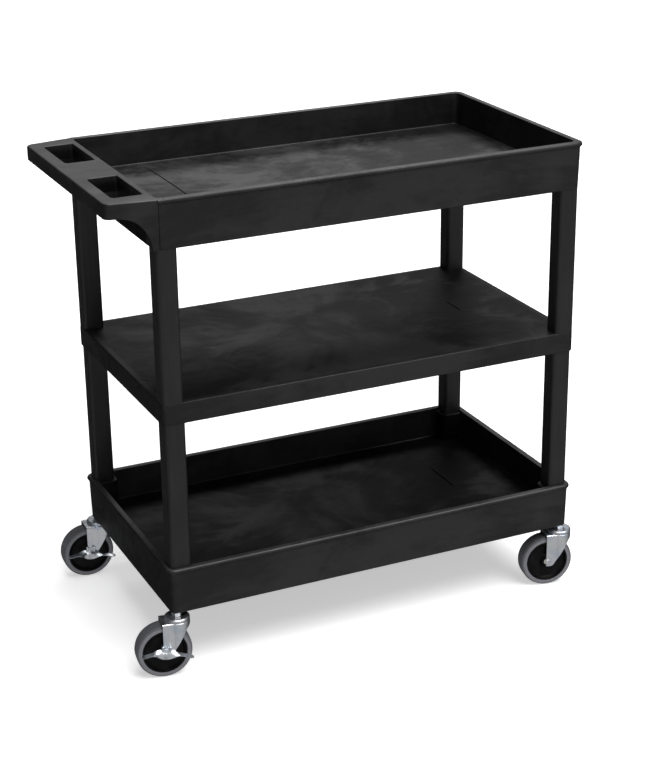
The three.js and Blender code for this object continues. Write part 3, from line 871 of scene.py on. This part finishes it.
def tub_body(name, base, rim, size):
    """A tub's block with its leaning wall, rounded rim and hollow."""
    edge, fillet = size.edge, size.floor_fillet
    lean = size.draft
    inside = lean - size.wall
    floor = base + size.floor_height
    floor_inside = lean * size.floor_height / (rim - base) - size.wall
    outer = [(-edge, base), *quarter(-edge, base + edge, edge, -90, 0)]
    outer += quarter(lean - edge, rim - edge, edge, 0, 90)
    inner = quarter(inside + edge, rim - edge, edge, 90, 180)
    inner += quarter(floor_inside - fillet, floor + fillet, fillet, 0, -90)
    rings = [plan_ring(offset, z, size.corner + offset) for offset, z in outer]
    for offset, z in inner:
        rings.append(plan_ring(offset, z, size.corner + offset + size.wall - lean))
    return loft(name, rings)


def rim_bead(base, rim, size, leave_handle_end):
    """The rounded bead round a tub's rim, a half ellipse in section."""
    inside = size.draft / 2
    middle = rim - size.bead_height / 2
    steps = 16
    profile = []
    for i in range(steps + 1):
        turn = math.pi * (i / steps - 0.5)
        reach = inside + (size.draft - inside + size.bead_reach) * math.cos(turn)
        profile.append((reach, middle + size.bead_height / 2 * math.sin(turn)))
    root = inside - size.wall / 3
    profile += [(root, rim), (root, rim - size.bead_height)]
    profile[-3] = (profile[-3][0], rim - 1e-5)
    rings = [plan_ring(offset, z, size.corner + offset) for offset, z in profile]
    bead = loft("bead", rings, closed=True)
    if leave_handle_end:
        x = PLAN_CENTRE.x - HALF_LENGTH
        far = 2 * HALF_WIDTH
        end = block("handle_end", x - 1, x + size.wall - size.draft, PLAN_CENTRE.y - far,
                    PLAN_CENTRE.y + far, base, rim + far)
        cut(bead, end)
    return bead


def leg_sleeves(base, rim, size, legs):
    """The collars round the legs' feet inside the lower tub, rounded on top."""
    sleeves = []
    top = rim - size.sleeve_drop
    for corner in CORNERS:
        rings = [at_height(leg_outline(f"lower_leg_{corner}", corner, legs, size.sleeve), base + size.edge)]
        for offset, z in quarter(size.sleeve - size.edge, top - size.edge, size.edge, 0, 90):
            rings.append(at_height(leg_outline(f"lower_leg_{corner}", corner, legs, offset), z))
        sleeves.append(loft("sleeve", rings))
    return sleeves


def caster_holes(base, settings):
    """Bores for the stem sockets in the lower tub's corner blocks."""
    holes, socket_room = [], 0.0006
    for corner in CORNERS:
        low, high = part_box(f"stem_socket_{corner}")
        middle = (low + high) / 2
        radius = (high.x - low.x) / 2 + settings.cart_shelf.fit
        hole = bore_cutter(radius, base - OVERRUN, high.z + socket_room)
        hole.data.transform(Matrix.Translation((middle.x, middle.y, 0)))
        holes.append(hole)
    return holes


class CART_OT_bottom_tub(bpy.types.Operator):
    """Makes the lower tub with its bead, its ribs and the sleeves that take the legs"""

    bl_idname = "cart.bottom_tub"
    bl_label = "Lower Tub"

    def execute(self, context):
        size = context.scene.cart_shelf
        low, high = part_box("bottom_tub")
        tub = tub_body("bottom_tub_shell", low.z, high.z, size)
        outside = prism("outside", rectangle(
            PLAN_CENTRE.x - HALF_LENGTH, PLAN_CENTRE.x + HALF_LENGTH,
            PLAN_CENTRE.y - HALF_WIDTH, PLAN_CENTRE.y + HALF_WIDTH, size.corner), low.z, high.z)
        for sleeve in leg_sleeves(low.z, high.z, size, context.scene.cart_leg):
            join(tub, keep_inside(sleeve, duplicate(outside)))
        discard(outside)
        join(tub, rim_bead(low.z, high.z, size, False))
        cut(tub, rib_hollows(low.z, size.floor_height - size.floor_thickness, size))
        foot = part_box("lower_leg_front_left")[0].z
        cut(tub, *leg_pockets("lower_leg", foot - size.fit, high.z + OVERRUN, context.scene))
        cut(tub, *caster_holes(low.z, context.scene))
        centre = (PLAN_CENTRE.x, PLAN_CENTRE.y, low.z)
        # The lower tub's floor is darkened to half, painted shade under the shelves, and its rim's top is
        # lightened, a painted highlight.
        plastic = shelf_plastic("lower_tub_plastic", context.scene.cart_finish, centre,
                                [(0.270, -0.037, 0.087)], 0.12, 0.5, high.z - low.z, 2.2)
        finish(tub, "root", plastic, ["bottom_tub"])
        return {"FINISHED"}


class CART_OT_middle_shelf(bpy.types.Operator):
    """Makes the flat shelf with its rounded edges, its ribs and its leg pockets"""

    bl_idname = "cart.middle_shelf"
    bl_label = "Middle Shelf"

    def execute(self, context):
        size = context.scene.cart_shelf
        low, high = SHELF_LOW, SHELF_HIGH
        edge, top = size.edge, 1.6 * size.edge
        profile = [(-edge, low.z), *quarter(-edge, low.z + edge, edge, -90, 0)]
        profile += quarter(-top, high.z - top, top, 0, 90)
        rings = [plan_ring(offset, z, size.corner + offset) for offset, z in profile]
        shelf = loft("middle_shelf_board", rings)
        cut(shelf, rib_hollows(low.z, high.z - low.z - size.floor_thickness, size))
        upper_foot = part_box("upper_leg_front_left")[0].z
        lower_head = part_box("lower_leg_front_left")[1].z
        cut(shelf, *leg_pockets("upper_leg", upper_foot - size.fit, high.z + OVERRUN, context.scene))
        cut(shelf, *leg_pockets("lower_leg", low.z - OVERRUN, lower_head + size.fit, context.scene))
        centre = (PLAN_CENTRE.x, PLAN_CENTRE.y, high.z)
        plastic = shelf_plastic("middle_shelf_plastic", context.scene.cart_finish, centre,
                                [(0.275, -0.04, 0.032)], 0.26, 1.0, 1.0, 1.0)
        finish(shelf, "root", plastic, ["middle_shelf"])
        return {"FINISHED"}


def handle_plan(tip, root, wide, narrow, corner, inwards=0.0):
    """The handle's tapering outline seen from above."""
    y = PLAN_CENTRE.y
    return rounded_polygon([
        (root, y - wide + inwards, 0), (tip + inwards, y - narrow + inwards, corner),
        (tip + inwards, y + narrow - inwards, corner), (root, y + wide - inwards, 0),
    ])


def hand_hole(x0, x1, y0, y1, z0, z1, grip):
    """A cutter for one hand hole, flared at both faces to round the hole's edges."""
    edge = grip.hole_edge

    def ring(out, z):
        return at_height(rectangle(x0 - out, x1 + out, y0 - out, y1 + out, grip.hole_corner + out), z)

    rings = [ring(edge, z0 - OVERRUN)]
    rings += [ring(edge - x, z0 + edge - y) for x, y in quarter(0, 0, edge, 90, 0)]
    rings += [ring(edge - x, z1 - edge + y) for x, y in quarter(0, 0, edge, 0, 90)]
    return loft("hand_hole", [*rings, ring(edge, z1 + OVERRUN)])


def push_handle(base, rim, tip, size, grip):
    """The frame level with the rim, with two hand holes and a curved gusset on each side."""
    shelf_end = PLAN_CENTRE.x - HALF_LENGTH
    root = shelf_end + size.wall - size.draft
    wide = HALF_WIDTH + size.draft + grip.proud
    narrow = wide - grip.taper
    under = rim - grip.bar_height
    rings = []
    for offset, z in [*quarter(-grip.edge, under + grip.edge, grip.edge, -90, 0),
                      *quarter(-grip.edge, rim - grip.edge, grip.edge, 0, 90)]:
        rings.append(at_height(handle_plan(tip, root, wide, narrow, grip.corner + offset, -offset), z))
    frame_bar = loft("handle", rings)
    y = PLAN_CENTRE.y
    hole_x = tip + grip.bar_depth
    for y0, y1 in ((y - grip.hole_outer, y - grip.hole_inner), (y + grip.hole_inner, y + grip.hole_outer)):
        cut(frame_bar, hand_hole(hole_x, shelf_end, y0, y1, under, rim, grip))
    foot = shelf_end - grip.gusset_foot
    steps = 24
    curve = []
    for i in range(steps + 1):
        turn = math.pi / 2 * i / steps
        curve.append((hole_x + (foot - hole_x) * math.cos(turn), base + (under - base) * math.sin(turn)))
    lap = under + grip.bar_height / 3
    web = [(hole_x, lap), (root, lap), (root, base), *curve]
    walls = prism("gussets", web, y - 2 * wide, y + 2 * wide, "Y")
    keep_inside(walls, prism("outside", handle_plan(tip, root, wide, narrow, grip.corner), base, rim))
    clear = wide - grip.gusset_wall
    channel = handle_plan(tip - wide, root, clear, clear - grip.taper, 0)
    cut(walls, prism("channel", channel, base - wide, lap + wide))
    return join(frame_bar, soften(walls, 0.0008, 2, 50))


def parting_ribs(base, rim, size):
    """A fine half-round rib up each long wall, where the handle's moulding meets the tub's."""
    ribs = []
    radius = size.edge * 0.7
    x = PLAN_CENTRE.x - HALF_LENGTH + size.wall
    for side in (-1, 1):
        rings = []
        for z, offset in ((base + size.edge, size.draft * 0.1), (rim - size.edge, size.draft)):
            y = PLAN_CENTRE.y + side * (HALF_WIDTH + offset - radius / 3)
            rings.append(at_height(arc(x, y, radius, 0, 2 * math.pi, 16)[:-1], z))
        ribs.append(loft("rib", rings))
    return ribs


class CART_OT_top_tub(bpy.types.Operator):
    """Makes the upper tub with its bead, its ribs and the push handle moulded to it"""

    bl_idname = "cart.top_tub"
    bl_label = "Upper Tub and Handle"

    def execute(self, context):
        size, grip = context.scene.cart_shelf, context.scene.cart_handle
        low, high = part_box("top_tub")
        tub = tub_body("top_tub_shell", low.z, high.z, size)
        join(tub, rim_bead(low.z, high.z, size, True))
        handle = push_handle(low.z, high.z, low.x, size, grip)
        inner = size.draft - size.wall - size.edge
        inner_ring = [plan_ring(inner, z, size.corner) for z in (low.z - 1, high.z + 1)]
        cut(handle, loft("inside", inner_ring))
        join(tub, handle, *parting_ribs(low.z, high.z, size))
        cut(tub, rib_hollows(low.z, size.floor_height - size.floor_thickness, size))
        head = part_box("upper_leg_front_left")[1].z
        cut(tub, *leg_pockets("upper_leg", low.z - OVERRUN, head + size.fit, context.scene))
        centre = (PLAN_CENTRE.x, PLAN_CENTRE.y, low.z)
        # The upper tub's floor is lightened, painted light; its rim's top and the handle's top are lightened,
        # a painted highlight; the hand holes get painted shade.
        plastic = shelf_plastic("upper_tub_plastic", context.scene.cart_finish, centre,
                                [(-0.268, -0.10, 0.214)], 0.10, 1.8, high.z - low.z, 2.6, grip)
        finish(tub, "root", plastic, ["top_tub"])
        return {"FINISHED"}


class CART_OT_legs(bpy.types.Operator):
    """Makes the eight hollow legs with their rounded upright edges"""

    bl_idname = "cart.legs"
    bl_label = "Legs"

    def execute(self, context):
        size = context.scene.cart_leg
        plastic = once("leg_moulding", leg_plastic)
        for kind in ("upper_leg", "lower_leg"):
            for corner in CORNERS:
                node = f"{kind}_{corner}"
                low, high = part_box(node)
                outer = leg_outline(node, corner, size)
                inner = leg_outline(node, corner, size, -size.wall)
                rings = [at_height(outer, low.z), at_height(outer, high.z),
                         at_height(inner, high.z), at_height(inner, low.z)]
                finish(loft(f"{node}_tube", rings, closed=True), "root", plastic, [node])
        return {"FINISHED"}


# ---------------------------------------------------------------- casters
def crown_heights(size):
    """Underside and top of the fork's crown, and the race cap's lowest and top heights."""
    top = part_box("fork_front_left")[1].z
    cap_low, cap_high = (corner.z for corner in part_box("race_cap_front_left"))
    return top - size.sheet, top, cap_low, cap_high


def place_on_stem(piece, corner):
    """Moves a piece drawn about the stem's axis to its corner, heading the way the caster points."""
    stem = JOINTS[f"swivel_{corner}"]["pos_m"]
    axis = axle_frame(corner)[1]
    heading = Matrix.Rotation(math.atan2(-axis.x, axis.y), 4, "Z")
    piece.data.transform(Matrix.Translation((stem[0], stem[1], 0)) @ heading)
    return piece


def place_on_axle(piece, corner, size):
    """Moves a piece drawn about its own middle, with the axle along Y, to a caster's axle."""
    piece.data.transform(Matrix.Translation((-size.trail, 0, AXLE_HEIGHT)))
    return place_on_stem(piece, corner)


def crown_outline(half, radius, rear):
    """The crown from above: a round boss in front, running into straight flanks behind."""
    start = math.pi - math.asin(min(1.0, half / radius))
    boss = arc(0, 0, radius, -start, start, 40)
    return [(-rear, -half), *boss, (-rear, half)]


def fork_pressing(corner, size):
    """A pressed steel fork: crown, skirt and two tapering legs."""
    inner = size.wheel_width / 2 + size.side_gap
    outer = inner + size.sheet
    under, top, _, _ = crown_heights(size)
    foot = AXLE_HEIGHT - size.foot_radius
    press = size.press_radius

    def cup(half, radius, rear, z0, z1, edge, name):
        rings = [at_height(crown_outline(half, radius, rear), z0)]
        for out, z in quarter(-edge, z1 - edge, edge, 0, 90):
            rings.append(at_height(crown_outline(half + out, radius + out, rear), z))
        return loft(name, rings)

    rear = size.crown_rear
    shell = cup(outer, size.crown_radius, rear, foot - 0.001, top, press, f"fork_pressing_{corner}")
    inside = cup(inner, size.crown_radius - size.sheet, 2 * rear, foot - 0.002, under,
                 press - size.sheet + 0.001, "inside")
    cut(shell, inside)
    front = size.crown_radius + 0.001
    side = rounded_polygon([
        (-rear, top + 0.001, 0),
        (-size.trail - size.foot_radius, foot, size.foot_radius - 0.0005),
        (-size.trail + size.foot_radius + 0.001, foot, size.foot_radius - 0.0005),
        (size.crown_radius - 0.009, top - 2 * size.crown_skirt, 0.006),
        (front, top - size.crown_skirt, 0),
        (front, top + 0.001, 0),
    ], 12)
    keep_inside(shell, prism("side", side, -2 * front, 2 * front, "Y"))
    bore = size.axle_radius + size.gap
    axle = bore_cutter(bore, -THROUGH, THROUGH, "Y")
    axle.data.transform(Matrix.Translation((-size.trail, 0, AXLE_HEIGHT)))
    pin = size.kingpin_radius + PIN_FIT
    kingpin = bore_cutter(pin, under - 0.01, top + 0.01)
    cut(shell, axle, kingpin)
    return place_on_stem(soften(shell, 0.0004, 2, 40), corner)


class CART_OT_forks(bpy.types.Operator):
    """Makes the four pressed forks"""

    bl_idname = "cart.forks"
    bl_label = "Caster Forks"

    def execute(self, context):
        zinc = once("zinc_plate", zinc_plate)
        for corner in CORNERS:
            fork = fork_pressing(corner, context.scene.cart_caster)
            finish(fork, f"swivel_{corner}", zinc, [f"fork_{corner}"])
        return {"FINISHED"}


def race_cap(size):
    """The domed upper race with a rolled lip and a flat seat for the collar."""
    _, top, low, high = crown_heights(size)
    hole = size.kingpin_radius + size.gap
    skirt = size.ball_pitch + size.ball_radius + 2 * size.gap
    ceiling = high - size.cap_sheet
    radius, dome = size.cap_radius, 0.0034
    return turned("race_cap", [
        (hole, ceiling), (skirt, ceiling), (skirt, low + 0.0002), (skirt + 0.0002, low),
        (radius - 0.0008, low), *quarter(radius - 0.0008, low + 0.0008, 0.0008, -90, 0),
        *arc(radius - dome, high - dome, dome, 0, math.pi / 2, 8),
        (size.collar_radius + 0.004, high), (size.collar_radius + 0.003, high - 0.0003),
        (hole, high - 0.0003),
    ], 96)


def caster_stem(size):
    """Kingpin, riveted foot, hexagonal collar and the stem that goes up into its socket."""
    under, _, _, cap_top = crown_heights(size)
    low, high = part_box("caster_stem_front_left")
    collar = cap_top + size.gap
    collar_top = collar + size.collar_height
    pin, stem = size.kingpin_radius, size.stem_radius
    rivet = (under - size.gap) - low.z
    shaft = turned("caster_stem", [
        (0, low.z), (0.0065, low.z), *arc(0.0065, low.z + rivet, 0.002, -math.pi / 2 + 0.4, 0, 4),
        (0.0085, under - size.gap), (pin, under - size.gap), (pin, collar), (stem, collar_top),
        (stem, high.z - 0.001), (stem - 0.001, high.z), (0, high.z),
    ])
    radius = size.collar_radius
    nut = hexagon_block("collar", radius * 1.02, radius - HEX_CHAMFER, collar, collar_top, HEX_CHAMFER)
    return join(shaft, nut)


class CART_OT_swivels(bpy.types.Operator):
    """Makes each caster's stem, race cap and ball race, and finishes its socket"""

    bl_idname = "cart.swivels"
    bl_label = "Caster Swivels"

    def execute(self, context):
        size = context.scene.cart_caster
        zinc = once("zinc_plate", zinc_plate)
        steel = once("race_steel", bearing_steel)
        tree = ball_race_tree()
        _, top, _, _ = crown_heights(size)
        for corner in CORNERS:
            for kind, made in (("race_cap", race_cap(size)), ("caster_stem", caster_stem(size))):
                made.name = f"{kind}_turned_{corner}"
                place_on_stem(made, corner)
                finish(made, "root", zinc, [f"{kind}_{corner}"])
            balls = grown(f"balls_{corner}", tree, {
                "Pitch radius": size.ball_pitch, "Ball radius": size.ball_radius, "Balls": size.balls,
                "Material": steel,
            })
            balls.data.transform(Matrix.Translation((0, 0, top + size.gap + size.ball_radius)))
            place_on_stem(balls, corner)
            finish(balls, f"swivel_{corner}", steel, [f"ball_ring_{corner}"])
            paint(frame["nodes"][f"stem_socket_{corner}"], zinc)
        return {"FINISHED"}


def mirrored(half_profile):
    """A closed profile from its half on the +Y side, in order from the tread or rim inwards."""
    return [(r, -y) for r, y in reversed(half_profile)] + half_profile


def tyre_ring(size):
    """A rubber tyre with round shoulders, a shallow step on its side and a crowned tread."""
    half, radius = size.wheel_width / 2, AXLE_HEIGHT
    bore = radius - size.tyre_thickness
    shoulder = size.shoulder
    step = radius - size.shoulder + 0.001
    side = [(radius, 0.001), (radius - 0.0001, half - shoulder - 0.003)]
    side += arc(radius - shoulder, half - shoulder, shoulder - 0.0002, 0.05, math.pi / 2 - 0.35, 8)
    side += [(step - 0.0009, half - 0.0009), (step - 0.0013, half - 0.0003), (step - 0.0018, half)]
    side += [(bore + 0.0012, half), (bore + 0.0004, half - 0.0004), (bore, half - 0.0014)]
    return turned("tyre", mirrored(side), WHEEL_ROUND, "Y")


def wheel_hub(size):
    """A dished hub with a rolled lip at the tyre and a boss round the bush."""
    half = size.wheel_width / 2
    rim = AXLE_HEIGHT - size.tyre_thickness - 0.0001
    boss, bore = size.boss_radius, size.bush_radius + size.gap
    face = half + size.side_gap - 2 * size.gap
    side = [(rim, 0.001), (rim, half - 0.0016), *arc(rim - 0.0012, half - 0.0016, 0.0012, 0, math.pi / 2, 4)]
    side += [(rim - 0.0026, half - 0.0006), (rim - 0.0036, half - 0.0022)]
    side += [(rim - 0.0052, half - 0.0052), (rim - 0.0075, half - 0.0068), (rim - 0.0105, half - 0.0072)]
    side += [(boss + 0.006, half - 0.0066), (boss + 0.0028, half - 0.0056), (boss + 0.0008, half - 0.0034)]
    side += [(boss, half - 0.001), (boss, face - 0.0006), (boss - 0.0006, face), (bore, face)]
    return turned("hub", mirrored(side), WHEEL_ROUND, "Y")


class CART_OT_wheels(bpy.types.Operator):
    """Makes the tyres and hubs, and finishes the bushes"""

    bl_idname = "cart.wheels"
    bl_label = "Wheels"

    def execute(self, context):
        size, look = context.scene.cart_caster, context.scene.cart_finish
        hub_black = once("hub_moulding", hub_plastic)
        nylon = once("nylon_plastic", nylon_plastic)
        for corner in CORNERS:
            body = f"wheel_{corner}"
            tyre = place_on_axle(tyre_ring(size), corner, size)
            tyre.name = f"tyre_ring_{corner}"
            finish(tyre, body, tyre_rubber(corner, look), [f"tyre_{corner}"])
            hub = place_on_axle(wheel_hub(size), corner, size)
            hub.name = f"hub_dish_{corner}"
            finish(hub, body, hub_black, [f"wheel_hub_{corner}"])
            paint(frame["nodes"][f"wheel_bush_{corner}"], nylon)
        return {"FINISHED"}


def fork_face(size):
    """Distance from the wheel's middle to what seats on the outside of the fork."""
    return size.wheel_width / 2 + size.side_gap + size.sheet + size.gap


def lever_seat(size, brake):
    return fork_face(size) + brake.cam_sheet + size.gap


def axle_bolt(size, head_seat, end, head, height):
    """The axle bolt with a low domed head, stamped in the middle."""
    radius = size.axle_radius
    return turned("axle_bolt", [
        (0, -end), (radius - 0.0006, -end), (radius, -end + 0.0006), (radius, head_seat),
        (head - 0.0003, head_seat), (head, head_seat + height * 0.15),
        (head * 0.94, head_seat + height * 0.5), (head * 0.75, head_seat + height * 0.88),
        (head * 0.52, head_seat + height), (head * 0.43, head_seat + height * 0.96),
        (head * 0.34, head_seat + height * 0.66), (0, head_seat + height * 0.6),
    ], ROUND, "Y")


def hexagon_nut(size, seat):
    """A chamfered hexagon nut that runs on the bolt's end."""
    radius, height = 0.0075, 0.006
    nut = hexagon_block("nut", radius, radius - HEX_CHAMFER, -height / 2, height / 2, HEX_CHAMFER)
    cut(nut, bore_cutter(size.axle_radius + size.gap, -height, height))
    nut.data.transform(Matrix.Translation((0, seat + height / 2, 0)) @ Matrix.Rotation(math.pi / 2, 4, "X"))
    return nut


class CART_OT_axles(bpy.types.Operator):
    """Makes each caster's axle bolt and nut"""

    bl_idname = "cart.axles"
    bl_label = "Axles"

    def execute(self, context):
        size, brake = context.scene.cart_caster, context.scene.cart_brake
        zinc = once("zinc_plate", zinc_plate)
        face = fork_face(size)
        for corner in CORNERS:
            seat, head = face, PLAIN_HEAD
            if corner in BRAKED:
                seat, head = lever_seat(size, brake) + brake.sheet + brake.ridge, BRAKED_HEAD
            bolt = place_on_axle(axle_bolt(size, seat, face + 0.007, *head), corner, size)
            bolt.name = f"axle_bolt_turned_{corner}"
            finish(bolt, f"swivel_{corner}", zinc, [f"axle_bolt_{corner}"])
            nut = place_on_axle(hexagon_nut(size, face), corner, size)
            nut.name = f"axle_nut_hexagon_{corner}"
            finish(nut, f"swivel_{corner}", zinc, [f"axle_nut_{corner}"])
        return {"FINISHED"}


def lever_section(along, seat, brake):
    """Bottom, ridge and top points of the lever's section, from -1 to 1 along its length."""
    reach = abs(along)
    out = max(0.0, (reach * brake.half_span - 0.008) / (brake.half_span - 0.008))
    middle = max(0.0, 1 - reach / 0.56)
    y = -seat - brake.sweep * out ** 1.5
    z = brake.curl * max(0.0, (reach - 0.78) / 0.22) ** 2 + 0.0018 * math.sin(math.pi * out)
    half = brake.half_height * middle + (1 - middle) * brake.wing_depth / 2
    tilt = math.radians(80) * min(1.0, reach / 0.5) ** 1.2
    up = Vector((0, math.sin(tilt), math.cos(tilt)))
    face = Vector((0, -math.cos(tilt), math.sin(tilt)))
    x = along * brake.half_span
    base = Vector((x, y, z))
    ridge = base + face * brake.ridge * middle + up * half * 0.12
    return [base - up * half, base - up * half * 0.45 + face * brake.ridge * middle * 0.5, ridge,
            base + up * half * 0.55 + face * brake.ridge * middle * 0.35, base + up * half]


def brake_lever(size, brake):
    """A stamped bow-tie lever: a ridged diamond in the middle and two wings that turn to treads."""
    bm = bmesh.new()
    steps = 48
    seat = lever_seat(size, brake)
    rows = []
    for i in range(steps + 1):
        along = 2 * i / steps - 1
        narrow = math.sqrt(max(0.0, 1 - max(0.0, (abs(along) - 0.93) / 0.07) ** 2)) * 0.75 + 0.25
        section = lever_section(along, seat, brake)
        centre = sum(section, Vector()) / len(section)
        rows.append([bm.verts.new(centre + (point - centre) * narrow) for point in section])
    for row, after in zip(rows, rows[1:]):
        for i in range(len(row) - 1):
            bm.faces.new((row[i], row[i + 1], after[i + 1], after[i]))
    lever = piece_from(bm, "brake_lever")
    wall = lever.modifiers.new("Sheet", "SOLIDIFY")
    wall.thickness = brake.sheet
    wall.offset = 0
    wall.use_even_offset = True
    settle(lever)
    cut(lever, bore_cutter(size.axle_radius + PIN_FIT, -THROUGH_BRAKE, THROUGH_BRAKE, "Y"))
    return soften(lever, 0.0003, 2, 50)


def brake_cam(size, brake):
    """The cam plate behind the lever, with a rolled ear on each side of its top."""
    seat = fork_face(size)
    half, rise, sheet = brake.cam_half_width, brake.cam_rise, brake.cam_sheet
    face = rounded_polygon([
        (-half, -0.008, 0.004), (half, -0.008, 0.004), (half, rise - 0.003, 0.0025),
        (0.003, rise - 0.001, 0.003), (0, rise - 0.004, 0.002), (-0.003, rise - 0.001, 0.003),
        (-half, rise - 0.003, 0.0025),
    ], 6)
    plate = soften(prism("brake_cam", face, -seat - sheet, -seat, "Y"), 0.0006, 3, 40)
    for side in (-1, 1):
        ear = turned("ear", [(0, 0), (0.0022, 0), (0.0028, 0.0006), (0.0028, 0.0069), (0.0022, 0.0075),
                             (0, 0.0075)], 32)
        place = (side * (half - 0.0028), -seat - 0.0031, rise - 0.0072)
        ear.data.transform(Matrix.Translation(place))
        join(plate, ear)
    return cut(plate, bore_cutter(size.axle_radius + PIN_FIT, -THROUGH_BRAKE, THROUGH_BRAKE, "Y"))


class CART_OT_brakes(bpy.types.Operator):
    """Makes the wing brakes' levers and cams"""

    bl_idname = "cart.brakes"
    bl_label = "Wing Brakes"

    def execute(self, context):
        size, brake = context.scene.cart_caster, context.scene.cart_brake
        zinc = once("zinc_plate", zinc_plate)
        for corner in BRAKED:
            tilt = Matrix.Rotation(brake.tilt, 4, "Y")
            lever = brake_lever(size, brake)
            lever.data.transform(tilt)
            place_on_axle(lever, corner, size)
            lever.name = f"brake_lever_stamping_{corner}"
            finish(lever, f"brake_{corner}", zinc, [f"brake_lever_{corner}"], 40)
            cam = brake_cam(size, brake)
            cam.data.transform(tilt)
            place_on_axle(cam, corner, size)
            cam.name = f"brake_cam_plate_{corner}"
            finish(cam, f"brake_{corner}", zinc, [f"brake_cam_{corner}"])
        return {"FINISHED"}


# ---------------------------------------------------------------- studio
def lamp(name, kind, strength, place, aim):
    """A light of one kind at a place, facing a point."""
    light = bpy.data.lights.new(name, kind)
    light.energy = strength
    holder = bpy.data.objects.new(name, light)
    holder.location = place
    holder.rotation_euler = (Vector(aim) - Vector(place)).to_track_quat("-Z", "Y").to_euler()
    holder.visible_camera = False
    bpy.context.scene.collection.objects.link(holder)
    return light


class CART_OT_stage(bpy.types.Operator):
    """Makes the pale floor, the soft lights and the camera"""

    bl_idname = "cart.stage"
    bl_label = "Stage"

    def execute(self, context):
        scene, studio = context.scene, context.scene.cart_studio
        centre = (CAD_BOX[0] + CAD_BOX[1]) / 2
        half = studio.floor_size / 2
        bm = bmesh.new()
        corners = [(-half, -half), (half, -half), (half, half), (-half, half)]
        bm.faces.new([bm.verts.new((x, y, 0)) for x, y in corners])
        floor = piece_from(bm, "floor")
        floor.data.materials.append(once("floor_paint", floor_paint))
        floor.visible_glossy = False

        world = bpy.data.worlds.new("studio")
        world.use_nodes = True
        tree = world.node_tree
        tree.nodes["Background"].inputs["Color"].default_value = (1, 1, 1, 1)
        heading = tree.nodes.new("ShaderNodeTexCoord").outputs["Generated"]
        _, y, _ = split(tree, heading)
        glow = mapped(tree, y, -0.9, 0.1, studio.front_wall, studio.back_wall)
        tree.links.new(glow, tree.nodes["Background"].inputs["Strength"])
        scene.world = world
        scene.view_settings.view_transform = "Standard"
        lamp("overhead", "SUN", studio.key, (0.5, -1.0, 3.0), (0, 0, 0)).angle = studio.spread
        behind = lamp("behind", "AREA", studio.back_light, (1.35, 2.85, 3.3), (0, 0, centre.z))
        behind.shape = "RECTANGLE"
        behind.size, behind.size_y = 2.2, 1.2

        azimuth, elevation = studio.azimuth, studio.elevation
        away = Vector((
            math.sin(azimuth) * math.cos(elevation), -math.cos(azimuth) * math.cos(elevation),
            math.sin(elevation),
        ))
        lens = bpy.data.cameras.new("camera")
        lens.lens = studio.lens
        lens.sensor_width = 36
        lens.clip_end = 2 * studio.floor_size
        camera = bpy.data.objects.new("camera", lens)
        camera.location = centre + Vector(studio.aim) + away * studio.distance
        turn = (-away).to_track_quat("-Z", "Y").to_matrix().to_4x4() @ Matrix.Rotation(studio.roll, 4, "Z")
        camera.rotation_euler = turn.to_euler()
        scene.collection.objects.link(camera)
        scene.camera = camera
        return {"FINISHED"}


# ---------------------------------------------------------------- panel and run
OPERATORS = [
    CART_OT_stage,
    CART_OT_top_tub,
    CART_OT_middle_shelf,
    CART_OT_bottom_tub,
    CART_OT_legs,
    CART_OT_swivels,
    CART_OT_forks,
    CART_OT_wheels,
    CART_OT_axles,
    CART_OT_brakes,
]


class CART_PT_pieces(bpy.types.Panel):
    """Lists the cart's sizes and the steps that build it"""

    bl_idname = "CART_PT_pieces"
    bl_label = "Utility Cart"
    bl_space_type = "VIEW_3D"
    bl_region_type = "UI"
    bl_category = "Cart"

    def draw(self, context):
        for operator in OPERATORS:
            self.layout.operator(operator.bl_idname)
        for name, group in GROUPS.items():
            box = self.layout.box()
            box.label(text=name.replace("_", " ").capitalize())
            for prop in group.__annotations__:
                box.prop(getattr(context.scene, name), prop)


def register():
    for group in GROUPS.values():
        bpy.utils.register_class(group)
    for name, group in GROUPS.items():
        setattr(bpy.types.Scene, name, bpy.props.PointerProperty(type=group))
    for operator in OPERATORS:
        bpy.utils.register_class(operator)
    bpy.utils.register_class(CART_PT_pieces)


def unregister():
    bpy.utils.unregister_class(CART_PT_pieces)
    for operator in reversed(OPERATORS):
        bpy.utils.unregister_class(operator)
    for name, group in GROUPS.items():
        delattr(bpy.types.Scene, name)
        bpy.utils.unregister_class(group)


def main():
    register()
    for operator in OPERATORS:
        category, action = operator.bl_idname.split(".")
        getattr(getattr(bpy.ops, category), action)()


if __name__ == "__main__":
    main()
